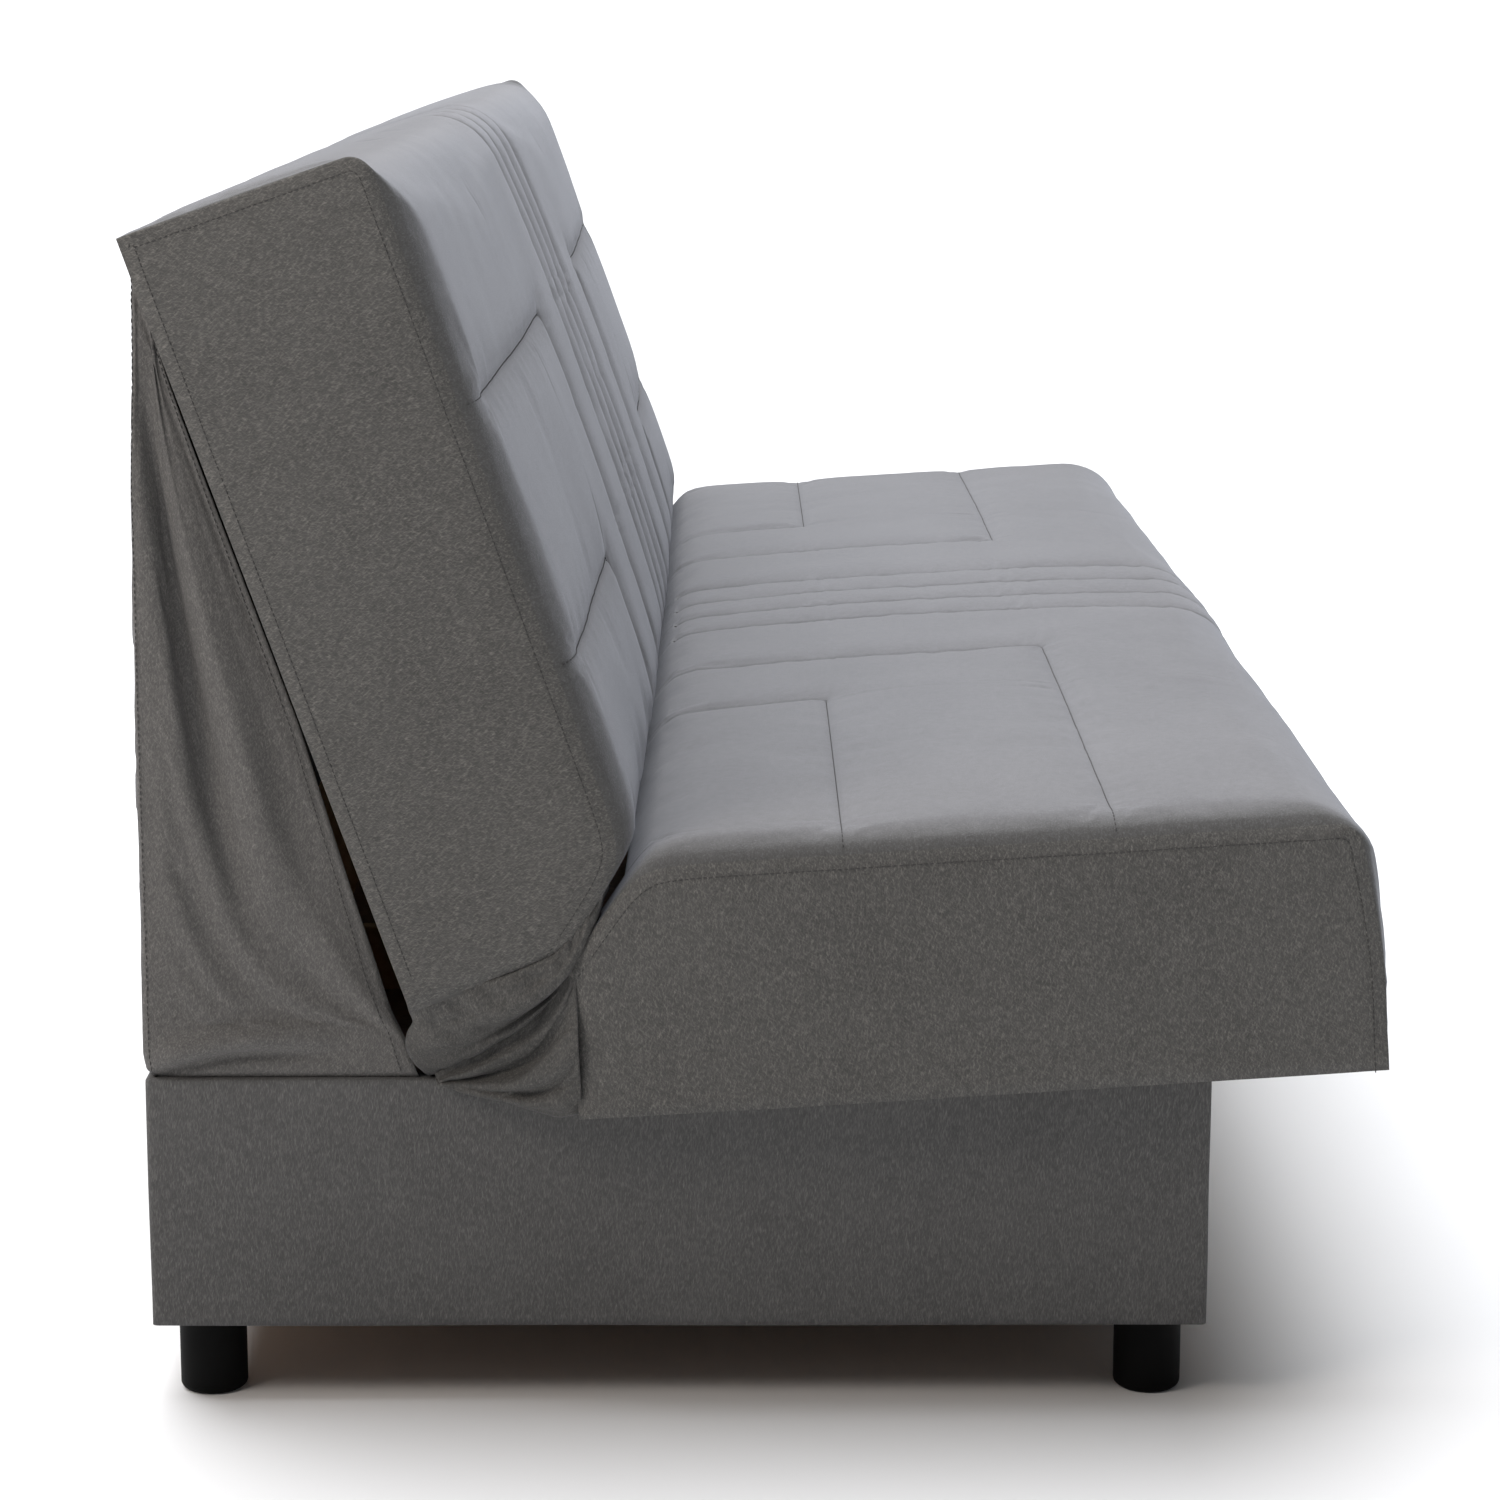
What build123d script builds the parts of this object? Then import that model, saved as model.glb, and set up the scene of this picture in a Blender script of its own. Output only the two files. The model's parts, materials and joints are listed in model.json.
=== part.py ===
from build123d import *
import math
import os

# Click-clack sofa bed: two equal upholstered halves that turn about one hub line over a storage box.
# Frame: X along the sofa, -Y towards the sitter, +Z up, origin under the centre of its box on the floor.
# A half is drawn flat, with the hub line through the origin and S along +Y away from the hub, and is
# then mirrored or turned to its place as the seat or as the back.

# ---- driving dimensions, mm ----
overall_length = 1900
overall_depth = 866
seat_tilt = 3.6          # the seat's front edge stands up by this angle, degrees
back_recline = 70.7      # turn of the back from sitting to lying, degrees
lift_travel = 25         # turn of the seat from sitting to raised, degrees
hub_rise = 90            # hub line above the box's upper edge
soft_gap = 0.3           # air between things that only rest on each other

# the upholstered half
end_gap = 4              # hub line to the inner end of the half
crown_height = 88        # hub line to the top of the padding
half_drop = 109          # hub line to the lower edge of the cover
edge_round = 45          # outer top edge of the padding
mitre_angle = 50         # padding cut back from the hub, degrees from upright
contact_angle = 37.15    # where the two corner rolls meet when sitting, degrees from upright
roll_start = 14          # the rolls begin this far above the hub line

# the half's frame
rail_thick = 19
rail_height = 40
cover_thick = 3
inner_rail_start = 70    # hub line to the inner rail
slat_width = 55
slat_thick = 8
slat_count = 15
slat_pitch = 118
holder_wall = 2.5
holder_length = 30
arm_block_length = 150
arm_block_thick = 22
bracket_leg = 45
bracket_thick = 2.5

# the hub, from the box wall inwards
plate_thick = 5
washer_thick = 1
pin_radius = 6
pin_fit = 0.05           # radial running clearance
pin_head_radius = 11
pin_head_height = 5
washer_radius = 14
hub_plate_radius = 26
bracket_width = 60
bracket_height = 118     # bolted foot of the hub bracket, below the box's edge
arm_width = 26
arm_bolt_radius = 4
arm_bolt_pitch = 90
arm_bolt_head_radius = 7.2
arm_bolt_head_height = 5
arm_bolt_tail = 8        # shank beyond the wood block
bracket_bolt_edge = 18   # lowest bolts above the foot of the hub bracket
bracket_bolt_rise = 62   # upper bolt above the lowest
bracket_bolt_half = 16   # lowest bolts to each side of the hub line

# the ratchet
ratchet_radius = 38
clicks = 12
notch_depth = 2.6
notch_slope = 0.65       # half width of a notch over its depth
notch_play = 0.25
nose_half = 2.3
nose_length = 5.2
pawl_pivot_out = 34
pawl_pivot_down = 62
pawl_width = 14
pawl_pin_radius = 4
pawl_travel = 12         # degrees

# padding pocket round the hub, measured from the hub line
pocket_reach = 112
pocket_height = 41
pocket_side_play = 8

# the storage box
box_length = 1832
seat_overhang = 118      # seat's front edge beyond the box
box_height = 180
skin_thick = 2
panel_thick = 16
bottom_thick = 4
block_side = 62
block_height = 90
divider_thick = 18
divider_height = 60
pad_thick = 3
pad_length = 60
pad_spread = 0.8         # outer pads, as a share of the way to the end walls
batten_width = 30
batten_end_play = 40

# feet
foot_radius = 24
foot_height = 58
foot_inset = 38
foot_round = 5
foot_bolt_radius = 4
foot_bolt_grip = 45

# the curtain behind the back
curtain_thick = 3
curtain_room = 4.32726   # behind the back's outer rear corner, for the curtain
curtain_top_drop = 24    # below the back's outer rear corner
curtain_slit = 10        # hem to the back's rear face at the knee
curtain_slit_top = 6
curtain_slit_foot = 30
curtain_knee = 0.42      # height of the hem's bend, as a share of its two ends' sum
gusset_thick = 2.5
gusset_play = 1
gusset_waist = (0.7, 0.55)   # shares of the gusset's depth and drop where its edge bends

# ---- places worked out from them ----
half_length = overall_length / 2
tilt = math.radians(seat_tilt)
recline = math.radians(back_recline)
lean = math.cos(tilt) + math.cos(recline)
heel = half_drop * (math.sin(tilt) + math.sin(recline))
half_reach = (overall_depth - heel - curtain_room) / lean     # hub line to the outer edge
rail_top = rail_height - half_drop + cover_thick
rail_bottom = -half_drop + cover_thick
slat_top = rail_top + slat_thick
pad_base = slat_top + 1
hub_y = -overall_depth / 2 + half_reach * math.cos(tilt) + half_drop * math.sin(tilt)
rear_y = overall_depth / 2
box_front = seat_overhang - rear_y
box_mid = (rear_y + box_front) / 2
box_top = foot_height + box_height
hub_height = box_top + hub_rise
rebate_line = box_top + pad_thick + soft_gap - hub_height
panel_base = foot_height + bottom_thick
wall_y = (box_front + skin_thick, rear_y - skin_thick)
wall_x = box_length / 2 - skin_thick
inner_x = wall_x - panel_thick
inner_y = (wall_y[0] + panel_thick, wall_y[1] - panel_thick)
bracket_x = inner_x - plate_thick
back_arm_x = bracket_x - washer_thick - plate_thick
seat_arm_x = back_arm_x - washer_thick - plate_thick
pin_end_x = seat_arm_x - washer_thick
gusset_x = wall_x + skin_thick + gusset_play
rail_x = half_length - cover_thick - rail_thick
outer_s = half_reach - cover_thick
pitch = back_recline / clicks


def block(x, y, z):
    """Box between two values on each axis."""
    size = (x[1] - x[0], y[1] - y[0], z[1] - z[0])
    return Pos((x[0] + x[1]) / 2, (y[0] + y[1]) / 2, (z[0] + z[1]) / 2) * Box(*size)


def slab(points, x0, x1):
    """Outline of (y, z) points drawn out along X from x0 to x1."""
    outline = make_face(Polyline(*[(0, y, z) for y, z in points], close=True))
    return Pos(x0, 0, 0) * extrude(outline, amount=x1 - x0, dir=(1, 0, 0))


def rod(radius, x0, x1, y=0.0, z=0.0):
    """Round bar along X."""
    return Pos((x0 + x1) / 2, y, z) * Rot(0, 90, 0) * Cylinder(radius, abs(x1 - x0))


def pair(shape):
    """The shape and its mirror image at the other end of the sofa."""
    return [shape, mirror(shape, about=Plane.YZ)]


def as_seat(shapes):
    """A flat half's pieces put where the seat is at rest."""
    place = Pos(0, hub_y, hub_height) * Rot(-seat_tilt, 0, 0)
    return [place * mirror(shape, about=Plane.XZ) for shape in shapes]


def as_back(shapes):
    """A flat half's pieces put where the back is at rest."""
    place = Pos(0, hub_y, hub_height) * Rot(back_recline, 0, 0)
    return [place * shape for shape in shapes]


def as_base(shapes):
    """Pieces drawn round the hub line and fixed to the box."""
    return [Pos(0, hub_y, hub_height) * shape for shape in shapes]


# ---- pieces of one half, flat ----
def padding():
    """Foam and cover of a half: crowned block, mitred at the hub, with a pocket at each hub."""
    mitre = math.tan(math.radians(mitre_angle))
    outline = Polyline(
        (0, outer_s + cover_thick, crown_height - edge_round),
        (0, outer_s + cover_thick, pad_base),
        (0, end_gap, pad_base),
        (0, end_gap, end_gap / mitre),
        (0, crown_height * mitre, crown_height),
        (0, half_reach - edge_round, crown_height),
    )
    slack = edge_round * (1 - math.sqrt(0.5))
    middle = (0, half_reach - slack, crown_height - slack)
    corner = ThreePointArc(outline @ 1, middle, outline @ 0)
    profile = make_face(outline + corner)
    body = Pos(-half_length, 0, 0) * extrude(profile, amount=overall_length, dir=(1, 0, 0))
    pocket = block(
        (pin_end_x - pin_head_height - pocket_side_play, gusset_x),
        (0, pocket_reach),
        (pad_base - 1, pocket_height),
    )
    for piece in pair(pocket):
        body = body - piece
    return [body]


def corner_roll():
    """Foam roll that the other half squashes: the wedge between the mitre and the sitting contact."""
    inner = math.tan(math.radians(contact_angle))
    outer = math.tan(math.radians(mitre_angle))
    low = pocket_height + roll_start
    side = soft_gap * 2
    outline = [
        (low * inner + side, low),
        (crown_height * inner + side, crown_height),
        (crown_height * outer - side, crown_height),
        (low * outer - side, low),
    ]
    return [slab(outline, -half_length, half_length)]


def skirt():
    """Cover below the padding, wrapped round the rails on three sides."""
    outside = block((-half_length, half_length), (end_gap, half_reach), (-half_drop, pad_base - soft_gap))
    inside = block(
        (-half_length + cover_thick, half_length - cover_thick),
        (0, half_reach - cover_thick),
        (-half_drop - 1, pad_base),
    )
    return [outside - inside]


def end_rails():
    """Rails outside the box's end walls, hub to outer edge."""
    rail = block((rail_x, rail_x + rail_thick), (end_gap + 1, outer_s), (rail_bottom, rail_top))
    return pair(rail)


def long_rail(start):
    """Rail along the sofa between the end rails."""
    return [block((-rail_x, rail_x), (start, start + rail_thick), (rail_bottom, rail_top))]


def slat_places():
    """Where the slats cross, along X."""
    return [(i - (slat_count - 1) / 2) * slat_pitch for i in range(slat_count)]


def slats():
    """Plywood slats on top of the two long rails."""
    start = inner_rail_start + holder_wall
    end = outer_s - holder_wall
    low = rail_top + holder_wall
    return [
        block((x - slat_width / 2, x + slat_width / 2), (start, end), (low, slat_top - holder_wall))
        for x in slat_places()
    ]


def slat_holders():
    """Plastic sleeve on each end of each slat, stapled to the rail."""
    ends = [(inner_rail_start, inner_rail_start + holder_length), (outer_s - holder_length, outer_s)]
    half = slat_width / 2 + holder_wall
    slot = slats()
    holders = []
    for x, slat in zip(slat_places(), slot):
        for span in ends:
            holders.append(block((x - half, x + half), span, (rail_top, slat_top)) - slat)
    return holders


def arm_blocks(arm_x):
    """Wood blocks beside the steel arms, behind the inner rail."""
    start = inner_rail_start + rail_thick
    body = block((arm_x - arm_block_thick, arm_x), (start, start + arm_block_length), (rail_bottom, rail_top))
    for s in bolt_places():
        body = body - rod(arm_bolt_radius, arm_x - arm_block_thick - 1, arm_x + 1, s, arm_line())
    return pair(body)


def bolt_places():
    """Bolts of an arm along S."""
    first = inner_rail_start + rail_thick + (arm_block_length - arm_bolt_pitch) / 2
    return [first, first + arm_bolt_pitch]


def arm_line():
    """Height of the middle of the arm where it runs along its block."""
    return rail_top - arm_width / 2


def arm(arm_x):
    """Cranked steel arm: hub eye, slanting neck and a straight bar bolted to its block."""
    start = inner_rail_start + rail_thick
    end = start + arm_block_length
    z = arm_line()
    half = arm_width / 2
    bar = block((arm_x, arm_x + plate_thick), (start - half, end), (z - half, z + half))
    knee = rod(half, arm_x, arm_x + plate_thick, start - half, z)
    eye = rod(hub_plate_radius, arm_x, arm_x + plate_thick)
    angle = math.atan2(z, start - half)
    length = math.hypot(z, start - half)
    neck = block((arm_x, arm_x + plate_thick), (0, length), (-half, half))
    body = bar + knee + eye + Rot(math.degrees(angle), 0, 0) * neck
    return body - rod(pin_radius + pin_fit, arm_x - 1, arm_x + plate_thick + 1)


def drilled(body, arm_x):
    """The arm with its bolt holes."""
    for s in bolt_places():
        body = body - rod(arm_bolt_radius, arm_x - 1, arm_x + plate_thick + 1, s, arm_line())
    return body


def inner_rail(arm_x):
    """Rail near the hub: slotted for the arms, with thin tongues that pass over the box's end walls."""
    body = long_rail(inner_rail_start)[0]
    under = block((inner_x - 1, half_length), (0, 2 * inner_rail_start), (-half_drop, rebate_line))
    for piece in pair(under):
        body = body - piece
    z = arm_line()
    half = arm_width / 2 + 1
    slot = block((arm_x - 0.5, arm_x + plate_thick + 0.5), (0, inner_rail_start + 80), (z - half, rail_top + 1))
    for piece in pair(slot):
        body = body - piece
    return [body]


def arm_bolts(arm_x):
    """Cap bolts through each arm and its block, with a nut behind."""
    bolts = []
    back = arm_x - arm_block_thick
    for s in bolt_places():
        shank = rod(arm_bolt_radius, back - arm_bolt_tail, arm_x + plate_thick, s, arm_line())
        head = rod(arm_bolt_head_radius, back - arm_bolt_head_height, back, s, arm_line())
        bolts += pair(shank + head)
    return bolts


def corner_brackets():
    """Pressed angle in each outer corner between end rail and long rail."""
    edge = outer_s - rail_thick
    z = (rail_bottom + 6, rail_top - 6)
    leg = block((rail_x - bracket_thick, rail_x), (edge - bracket_leg, edge), z)
    foot = block((rail_x - bracket_leg, rail_x), (edge - bracket_thick, edge), z)
    return pair(leg + foot)


def rest_batten(wall):
    """Batten under the slats that comes down on a wall of the box when the half lies flat."""
    reach = abs(wall - hub_y)
    span = inner_x - batten_end_play
    width = (reach - batten_width / 2, reach + batten_width / 2)
    return [block((-span, span), width, (rebate_line, rail_top + holder_wall))]


def hinge_gusset(depth, side):
    """Cloth gusset at each end between a half and the hub, hanging below it."""
    outline = [
        (end_gap, 0),
        (end_gap, -half_drop),
        (-depth, -half_drop + cover_thick * 2),
        (-depth * gusset_waist[0], -half_drop * gusset_waist[1]),
    ]
    return pair(slab(outline, side, side + gusset_thick))


# ---- ratchet and hub, round the hub line ----
def ratchet_arm():
    """The back's arm with the toothed disc, drawn flat; the notches meet the pawl below the hub."""
    disc = rod(ratchet_radius, back_arm_x, back_arm_x + plate_thick)
    body = arm(back_arm_x) + (disc - rod(pin_radius + pin_fit, back_arm_x - 1, back_arm_x + plate_thick + 1))
    for i in range(-1, clicks + 2):
        body = body - Rot(i * pitch - back_recline, 0, 0) * notch()
    return drilled(body, back_arm_x)


def notch():
    """V wedge that points up into the disc from its lowest point."""
    low, high = -ratchet_radius - 4, -ratchet_radius + notch_depth
    wide = (high - low) * notch_slope
    return slab([(-wide, low), (wide, low), (0, high)], back_arm_x - 0.5, back_arm_x + plate_thick + 0.5)


def pawl():
    """Lever on the hub bracket whose nose sits in a notch."""
    y, z = -pawl_pivot_out, -pawl_pivot_down
    nose = -ratchet_radius + notch_depth - notch_play
    outline = [
        (y - 6, z - pawl_width / 2),
        (y + 8, z - pawl_width / 2),
        (nose_half, nose - nose_length),
        (0, nose),
        (-nose_half, nose - nose_length),
        (-9, nose - 9),
        (y - 6, z + pawl_width / 2),
    ]
    lever = slab(outline, back_arm_x, back_arm_x + plate_thick)
    boss = rod(pawl_width / 2 + 1, back_arm_x, back_arm_x + plate_thick, y, z)
    hole = rod(pawl_pin_radius + pin_fit, back_arm_x - 1, back_arm_x + plate_thick + 1, y, z)
    return lever + boss - hole


def hub_bracket():
    """Steel bracket bolted inside the end wall, rising to the hub."""
    half = bracket_width / 2
    foot_top = -hub_rise
    foot = block((bracket_x, inner_x), (-half, half), (foot_top - bracket_height, foot_top))
    eye = rod(hub_plate_radius, bracket_x, inner_x)
    neck = slab(
        [(-half, foot_top), (half, foot_top), (hub_plate_radius, 0), (-hub_plate_radius, 0)], bracket_x, inner_x
    )
    ear = slab(
        [
            (-half, foot_top),
            (-half, foot_top + 10),
            (-pawl_pivot_out - 8, -pawl_pivot_down + 9),
            (-pawl_pivot_out - 8, -pawl_pivot_down - 9),
            (-half, foot_top - 16),
        ],
        bracket_x,
        inner_x,
    )
    body = foot + eye + neck + ear
    body = body - rod(pin_radius, bracket_x - 1, inner_x + 1)
    body = body - rod(pawl_pin_radius, bracket_x - 1, inner_x + 1, -pawl_pivot_out, -pawl_pivot_down)
    for y, z in bracket_bolt_places():
        body = body - rod(arm_bolt_radius, bracket_x - 1, inner_x + 1, y, z)
    return body


def bracket_bolt_places():
    """Three bolts in the bracket's foot, from the hub line."""
    low = -hub_rise - bracket_height + bracket_bolt_edge
    return [(-bracket_bolt_half, low), (bracket_bolt_half, low), (0, low + bracket_bolt_rise)]


def bracket_bolts():
    """Coach bolts through the end wall, round head inside and nut in the wall's outer counterbore."""
    bolts = []
    for y, z in bracket_bolt_places():
        shank = rod(arm_bolt_radius, bracket_x, inner_x + panel_thick - 2, y, z)
        head = rod(arm_bolt_radius * 2, bracket_x - 4, bracket_x, y, z)
        bolts += pair(shank + head)
    return bolts


def hub_pins():
    """Rivet pins fixed in the brackets; the arms turn on them."""
    shank = rod(pin_radius, pin_end_x, inner_x)
    head = rod(pin_head_radius, pin_end_x - pin_head_height, pin_end_x)
    return pair(shank + head)


def hub_washers():
    """Washers between bracket, back arm, seat arm and pin head."""
    rings = []
    for x in (pin_end_x, back_arm_x - washer_thick, bracket_x - washer_thick):
        ring = rod(washer_radius, x, x + washer_thick) - rod(pin_radius + pin_fit, x - 1, x + washer_thick + 1)
        rings += pair(ring)
    return rings


def pawl_pins():
    """Pins riveted in the brackets that carry the pawls, peened just proud of them."""
    proud = back_arm_x - washer_thick / 2
    return pair(rod(pawl_pin_radius, proud, inner_x, -pawl_pivot_out, -pawl_pivot_down))


# ---- storage box ----
def wall_panel(y0):
    """Front or rear wall."""
    return [block((-wall_x, wall_x), (y0, y0 + panel_thick), (panel_base, box_top))]


def end_panels():
    """End walls between the front and rear walls, drilled for the bracket bolts."""
    body = block((inner_x, wall_x), inner_y, (panel_base, box_top))
    for y, z in bracket_bolt_places():
        hole = rod(arm_bolt_radius, inner_x - 1, wall_x - 2, hub_y + y, hub_height + z)
        body = body - hole
    return pair(body)


def box_bottom():
    """Hardboard under the walls, drilled for the foot bolts."""
    body = block((-wall_x, wall_x), wall_y, (foot_height, panel_base))
    for x, y in foot_places():
        body = body - Pos(x, y, foot_height) * Cylinder(foot_bolt_radius, 20)
    return [body]


def foot_places():
    """Centres of the four feet."""
    x = box_length / 2 - foot_inset
    rear, front = rear_y - foot_inset, box_front + foot_inset
    return [(-x, front), (x, front), (-x, rear), (x, rear)]


def corner_blocks():
    """Blocks glued in the corners; they take the foot bolts."""
    pieces = []
    for x, y in foot_places():
        sx, sy = math.copysign(1, x), math.copysign(1, y - box_mid)
        xs = sorted((sx * inner_x, sx * (inner_x - block_side)))
        edge = inner_y[1] if sy > 0 else inner_y[0]
        ys = sorted((edge, edge - sy * block_side))
        body = block(xs, ys, (panel_base, panel_base + block_height))
        pieces.append(body - Pos(x, y, panel_base) * Cylinder(foot_bolt_radius, 2 * foot_bolt_grip))
    return pieces


def feet():
    """Round plastic feet with a softened lower edge."""
    pieces = []
    for x, y in foot_places():
        body = Pos(x, y, foot_height / 2) * Cylinder(foot_radius, foot_height)
        body = fillet(body.edges().group_by(Axis.Z)[0], foot_round)
        pieces.append(body - Pos(x, y, foot_height) * Cylinder(foot_bolt_radius, foot_height))
    return pieces


def foot_bolts():
    """Hanger bolts from each foot into its block."""
    top = panel_base + foot_bolt_grip
    low = foot_height / 2
    return [Pos(x, y, (top + low) / 2) * Cylinder(foot_bolt_radius, top - low) for x, y in foot_places()]


def divider():
    """Cross rail on the bottom at mid length."""
    half = divider_thick / 2
    return [block((-half, half), inner_y, (panel_base, panel_base + divider_height))]


def rest_pads():
    """Felt pads on the front and rear walls under the battens."""
    pads = []
    for y0 in (wall_y[0], inner_y[1]):
        limit = panel_thick - 2 * curtain_thick if y0 > 0 else panel_thick
        for x in (-1, 0, 1):
            x0 = x * inner_x * pad_spread
            span = (x0 - pad_length / 2, x0 + pad_length / 2)
            pads.append(block(span, (y0, y0 + limit), (box_top, box_top + pad_thick)))
    return pads


def box_skin():
    """Fabric pulled round the four walls."""
    outside = block((-wall_x - skin_thick, wall_x + skin_thick), (box_front, rear_y), (foot_height, box_top))
    inside = block((-wall_x, wall_x), wall_y, (foot_height - 1, box_top + 1))
    return [outside - inside]


def back_rear_line(z, gap):
    """Y of the back's rear face at height z, moved rearwards by a gap."""
    rise = (z - hub_height + half_drop * math.cos(recline)) / math.sin(recline)
    return hub_y + rise * math.cos(recline) + half_drop * math.sin(recline) + gap


def curtain():
    """Loose cloth from the back's top to the box: a rear fall and a wing at each end."""
    low = box_top + soft_gap
    corner_z = hub_height + half_reach * math.sin(recline) - half_drop * math.cos(recline)
    top = corner_z - curtain_top_drop
    out = rear_y - skin_thick
    fall = block((-wall_x, wall_x), (out - curtain_thick, out), (low, top))
    knee = (low + top) * curtain_knee
    wing = [
        (out - 0.5, low),
        (out - 0.5, top),
        (back_rear_line(top, curtain_slit_top), top),
        (back_rear_line(knee, curtain_slit), knee),
        (back_rear_line(low, curtain_slit_foot), low),
    ]
    body = fall
    for piece in pair(slab(wing, wall_x - curtain_thick, wall_x)):
        body = body + piece
    return [body]


def half_nodes(name, place, arm_x, steel_arm, wall):
    """Every piece of one half, put in place."""
    flat = {
        "cushion": padding(),
        "corner_roll": corner_roll(),
        "skirt": skirt(),
        "end_rails": end_rails(),
        "inner_rail": inner_rail(arm_x),
        "outer_rail": long_rail(outer_s - rail_thick),
        "slats": slats(),
        "slat_holders": slat_holders(),
        "arm_blocks": arm_blocks(arm_x),
        "arms": pair(steel_arm),
        "arm_bolts": arm_bolts(arm_x),
        "corner_brackets": corner_brackets(),
        "rest_batten": rest_batten(wall),
    }
    return {f"{name}_{key}": place(shapes) for key, shapes in flat.items()}


def all_nodes():
    """Every node by name."""
    front_wall = wall_y[0] + panel_thick / 2
    rear_wall = inner_y[1] + (panel_thick - 2 * curtain_thick) / 2
    seat_arm = drilled(arm(seat_arm_x), seat_arm_x)
    nodes = half_nodes("seat", as_seat, seat_arm_x, seat_arm, front_wall)
    nodes.update(half_nodes("back", as_back, back_arm_x, ratchet_arm(), rear_wall))
    nodes["seat_gussets"] = as_seat(hinge_gusset(74, gusset_x + gusset_thick + gusset_play))
    nodes["back_gussets"] = as_back(hinge_gusset(46, gusset_x))
    levers = pair(pawl())
    nodes["pawl_left"] = as_base([levers[1]])
    nodes["pawl_right"] = as_base([levers[0]])
    nodes["pawl_pins"] = as_base(pawl_pins())
    nodes["hub_brackets"] = as_base(pair(hub_bracket()))
    nodes["hub_bracket_bolts"] = as_base(bracket_bolts())
    nodes["hub_pins"] = as_base(hub_pins())
    nodes["hub_washers"] = as_base(hub_washers())
    nodes["box_front_panel"] = wall_panel(wall_y[0])
    nodes["box_rear_panel"] = wall_panel(inner_y[1])
    nodes["box_end_panels"] = end_panels()
    nodes["box_bottom"] = box_bottom()
    nodes["box_corner_blocks"] = corner_blocks()
    nodes["box_divider"] = divider()
    nodes["box_skin"] = box_skin()
    nodes["rest_pads"] = rest_pads()
    nodes["feet"] = feet()
    nodes["foot_bolts"] = foot_bolts()
    nodes["rear_curtain"] = curtain()
    return nodes


os.makedirs("parts", exist_ok=True)
for name, shapes in all_nodes().items():
    solids = [solid for shape in shapes for solid in shape.solids()]
    export_step(Compound(children=solids) if len(solids) > 1 else solids[0], f"parts/{name}.step")
    print(name, len(solids))
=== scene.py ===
# %% [markdown]
# # A click-clack sofa bed, dressed over its frame
# The rigid parts of the sofa, its hubs and its joints arrive finished. What is left is upholstery work:
# two quilted mattress halves, a covered storage box, a loose curtain behind the back and the cloth
# gussets that hide the hubs. Each cell first says what the piece is and then makes it.

# %% Load the frame
import json
import math

import bmesh
import bpy
import numpy as np
from mathutils import Matrix, Vector, noise
from mathutils.bvhtree import BVHTree


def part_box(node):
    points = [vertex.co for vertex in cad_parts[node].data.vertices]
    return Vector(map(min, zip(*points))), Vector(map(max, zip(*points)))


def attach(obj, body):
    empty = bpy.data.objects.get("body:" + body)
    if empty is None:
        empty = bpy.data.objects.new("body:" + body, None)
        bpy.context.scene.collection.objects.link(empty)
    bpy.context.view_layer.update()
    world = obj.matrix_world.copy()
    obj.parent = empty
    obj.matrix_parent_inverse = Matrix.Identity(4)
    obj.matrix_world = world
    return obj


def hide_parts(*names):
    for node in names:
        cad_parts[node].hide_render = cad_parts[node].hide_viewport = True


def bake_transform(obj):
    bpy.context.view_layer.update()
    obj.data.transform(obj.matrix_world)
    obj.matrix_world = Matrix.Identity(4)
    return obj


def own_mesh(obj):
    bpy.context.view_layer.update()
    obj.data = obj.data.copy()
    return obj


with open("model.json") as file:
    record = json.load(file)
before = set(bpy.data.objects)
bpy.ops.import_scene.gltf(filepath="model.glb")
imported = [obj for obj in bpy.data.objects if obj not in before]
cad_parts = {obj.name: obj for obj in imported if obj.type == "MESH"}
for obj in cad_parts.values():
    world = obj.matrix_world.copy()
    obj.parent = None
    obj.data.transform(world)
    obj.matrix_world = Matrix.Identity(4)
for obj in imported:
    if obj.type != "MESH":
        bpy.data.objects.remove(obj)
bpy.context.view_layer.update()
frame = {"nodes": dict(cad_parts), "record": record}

# %% [markdown]
# ## Where things are
# Both halves turn about one hub line, so every soft piece is drawn flat beside that line and then turned to
# its place. X runs along the sofa, S runs away from the hub and T is the side one sits on. The hub, the tilt
# and the recline come from the joints, so the drawing can't drift from the mechanism.

# %% Hub line and placing
joints = {j["name"]: j for j in frame["record"]["behaviour"]["joints"]}
hub = Vector(joints["seat_lift"]["pos_m"])
tilt = -math.radians(joints["seat_lift"]["range_deg"][0])
recline = math.radians(joints["back_recline"]["range_deg"][1])
half_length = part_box("seat_cushion")[1][0]
box_low, box_high = (Vector(p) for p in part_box("box_skin"))

turn = {
    "seat": Matrix.Translation(hub) @ Matrix.Rotation(-tilt, 4, "X") @ Matrix.Scale(-1, 4, (0, 1, 0)),
    "back": Matrix.Translation(hub) @ Matrix.Rotation(recline, 4, "X"),
}


def place(points, half):
    """Points (x, s, t) of a flat half, in the sofa's frame."""
    m = np.array(turn[half])
    return points @ m[:3, :3].T + m[:3, 3]


print("hub", tuple(round(v, 4) for v in hub), "tilt", round(math.degrees(tilt), 2))

# %% [markdown]
# ## The view
# A long lens stands off the near end, a metre up and looking slightly down along the sofa. The box and the
# seat end stay flat to it, which is why the sofa's length runs straight away from the viewer.

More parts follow.
